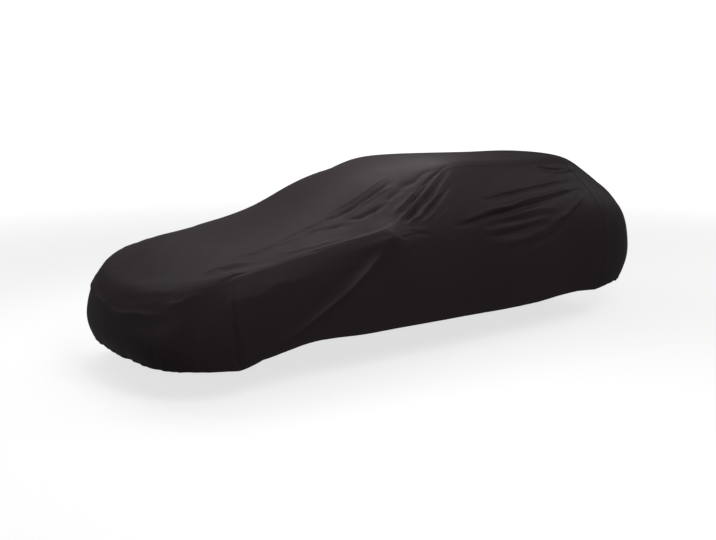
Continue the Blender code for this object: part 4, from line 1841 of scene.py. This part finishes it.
@dataclass(frozen=True)
class Cove:
    """A round pale floor that curves up into a wall, open at the top."""

    ground: float = -1.3786
    flat_radii: tuple[float, ...] = (3.0, 6.0, 9.0, 12.0)
    bend: float = 4.0
    bend_steps: int = 12
    wall: float = 6.0
    steps: int = 96
    colour: Colour = (0.45, 0.45, 0.45)
    shade: float = 0.985
    tone: Grain = Grain(0.6, 2.0)
    gloss: float = 0.2
    roughness: float = 0.85
    near_glow: float = 0.72
    far_glow: float = 1.05
    glow_range: tuple[float, float] = (3.0, 15.0)

    def outline(self) -> list[tuple[float, float]]:
        """Draws the cove's half section, without its middle point.

        Returns:
            Radius and height of each of its points, from the middle out.
        """
        flat = self.flat_radii[-1]
        outline = [(radius, 0.0) for radius in self.flat_radii]
        for turn in np.radians(np.arange(1, self.bend_steps + 1) * (90.0 / self.bend_steps)):
            radius = flat + self.bend * float(np.sin(turn))
            outline.append((radius, self.bend * (1.0 - float(np.cos(turn)))))
        outline.append((flat + self.bend, self.bend + self.wall))
        return outline

    def build(self) -> bpy.types.Object:
        """Makes the floor and wall.

        Returns:
            One open mesh that isn't part of the cover.
        """
        outline = self.outline()
        points = [(0.0, 0.0, self.ground)]
        for radius, height in outline:
            for turn in 2.0 * np.pi * np.arange(self.steps) / self.steps:
                points.append((radius * np.cos(turn), radius * np.sin(turn), self.ground + height))
        faces = [(0, 1 + k, 1 + (k + 1) % self.steps) for k in range(self.steps)]
        for ring in range(len(outline) - 1):
            inner = 1 + ring * self.steps
            outer = inner + self.steps
            for k in range(self.steps):
                after = (k + 1) % self.steps
                faces.append((inner + k, outer + k, outer + after, inner + after))
        mesh = bpy.data.meshes.new("studio_floor")
        mesh.from_pydata(points, [], faces)
        mesh.shade_smooth()
        mesh.materials.append(self.finish())
        floor = bpy.data.objects.new("studio_floor", mesh)
        # The paint is bright enough to photograph white, but it doesn't light the cloth
        floor.visible_diffuse = False
        floor.visible_glossy = False
        return in_scene(floor)

    def finish(self) -> bpy.types.Material:
        """Makes matt white paint with a faint unevenness, that glows more towards the wall.

        Returns:
            The material.
        """
        material, bench, shader = new_finish("studio_paint")
        place = bench.node("ShaderNodeTexCoord", {}).outputs["Object"]
        away = bench.node("ShaderNodeVectorMath", {0: place}, operation="LENGTH").outputs["Value"]
        glows = (self.near_glow, self.far_glow)
        darker = tuple(self.shade * part for part in self.colour)
        tone = bench.noise(place, self.tone)
        feeds = {
            "Base Color": bench.mixed(tone, opaque(darker), opaque(self.colour)),
            "Roughness": self.roughness,
            "Specular IOR Level": self.gloss,
            "Emission Color": (1.0, 1.0, 1.0, 1.0),
            "Emission Strength": bench.ranged(
                away, self.glow_range, glows, interpolation_type="SMOOTHSTEP"
            ),
        }
        bench.feed(shader, feeds)
        return material


@dataclass(frozen=True)
class PhotoCamera:
    """The camera of the photograph, in the frame of the solids."""

    place: Place = (4.4549, 5.1525, 0.3821)
    turn: tuple[float, float, float] = (79.1958, 0.0, 142.6235)
    lens: float = 43.22
    sensor: float = 36.0
    sight: float = 100.0

    def build(self) -> bpy.types.Object:
        """Makes the camera and sets the scene to look through it.

        Returns:
            The camera.
        """
        lens = bpy.data.cameras.new("photo_camera")
        lens.sensor_fit = "HORIZONTAL"
        lens.sensor_width = self.sensor
        lens.lens = self.lens
        lens.clip_end = self.sight
        camera = in_scene(bpy.data.objects.new("photo_camera", lens))
        camera.location = self.place
        camera.rotation_euler = Euler(np.radians(self.turn).tolist())
        bpy.context.scene.camera = camera
        return camera


@dataclass(frozen=True)
class Studio:
    """The cove, the soft lights and the plain film look."""

    sky: Colour = (0.97, 0.98, 1.0)
    sky_strength: float = 0.16
    softboxes: tuple[Softbox, ...] = (
        Softbox("overhead_softbox", (0.78, -0.57, 1.49), (1.71, -1.00, -0.60), 2.3, 3.4, 40.0),
        Softbox("front_softbox", (2.16, -1.50, 1.85), (0.4, 0.0, 0.0), 3.0, 2.5, 25.0),
        Softbox("near_softbox", (1.68, 4.50, 2.62), (0.2, 0.6, -0.6), 2.4, 2.4, 106.0),
        Softbox("rear_softbox", (-4.90, 1.90, 2.00), (-1.6, 0.0, -0.5), 3.0, 2.5, 38.0),
        Softbox("low_softbox", (6.00, -0.50, -0.20), (2.0, 0.0, -0.9), 2.0, 1.5, 16.0),
    )

    def build(self) -> list[bpy.types.Object]:
        """Makes the studio.

        Returns:
            The objects that aren't part of the cover and have a surface.
        """
        world = bpy.data.worlds.new("studio_light")
        world.use_nodes = True
        background = world.node_tree.nodes["Background"]
        background.inputs["Color"].default_value = opaque(self.sky)
        background.inputs["Strength"].default_value = self.sky_strength
        bpy.context.scene.world = world
        bpy.context.scene.view_settings.view_transform = "Standard"
        for light in self.softboxes:
            light.build()
        return [Cove().build()]


def main() -> None:
    """Builds the pieces in order and reports each one."""
    logging.basicConfig(level=logging.INFO, format="%(message)s")
    form = DrapedForm()
    drapes = {side: Drape(side, form) for side in Side}
    cloth = ClothSheet()
    middle_finish = SatinWeave("satin_middle").build()
    side_finish = SatinWeave(
        "satin_sides", dark=(0.0236, 0.0162, 0.0180), light=(0.0318, 0.0232, 0.0251)
    ).build()
    thread = SewingThread().build()
    seams, hem = Sewing(drapes, cloth, StitchTool()).build(thread)
    middle = MiddlePanel(drapes, cloth).build(middle_finish)
    left = SidePanel(drapes[Side.LEFT], cloth).build(side_finish)
    right = SidePanel(drapes[Side.RIGHT], cloth).build(side_finish)
    for piece, slot in (
        (middle, "cloth_middle"),
        (left, "cloth_sides"),
        (right, "cloth_sides"),
        (seams, "cloth_middle"),
        (hem, "cloth_sides"),
    ):
        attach(piece, BODY)
        LOG.info("%s: %d faces", piece.name, len(piece.data.polygons))
    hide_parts("panel_top")
    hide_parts("panel_side_left")
    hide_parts("panel_side_right")
    PhotoCamera().build()
    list(Studio().build())


if __name__ == "__main__":
    main()
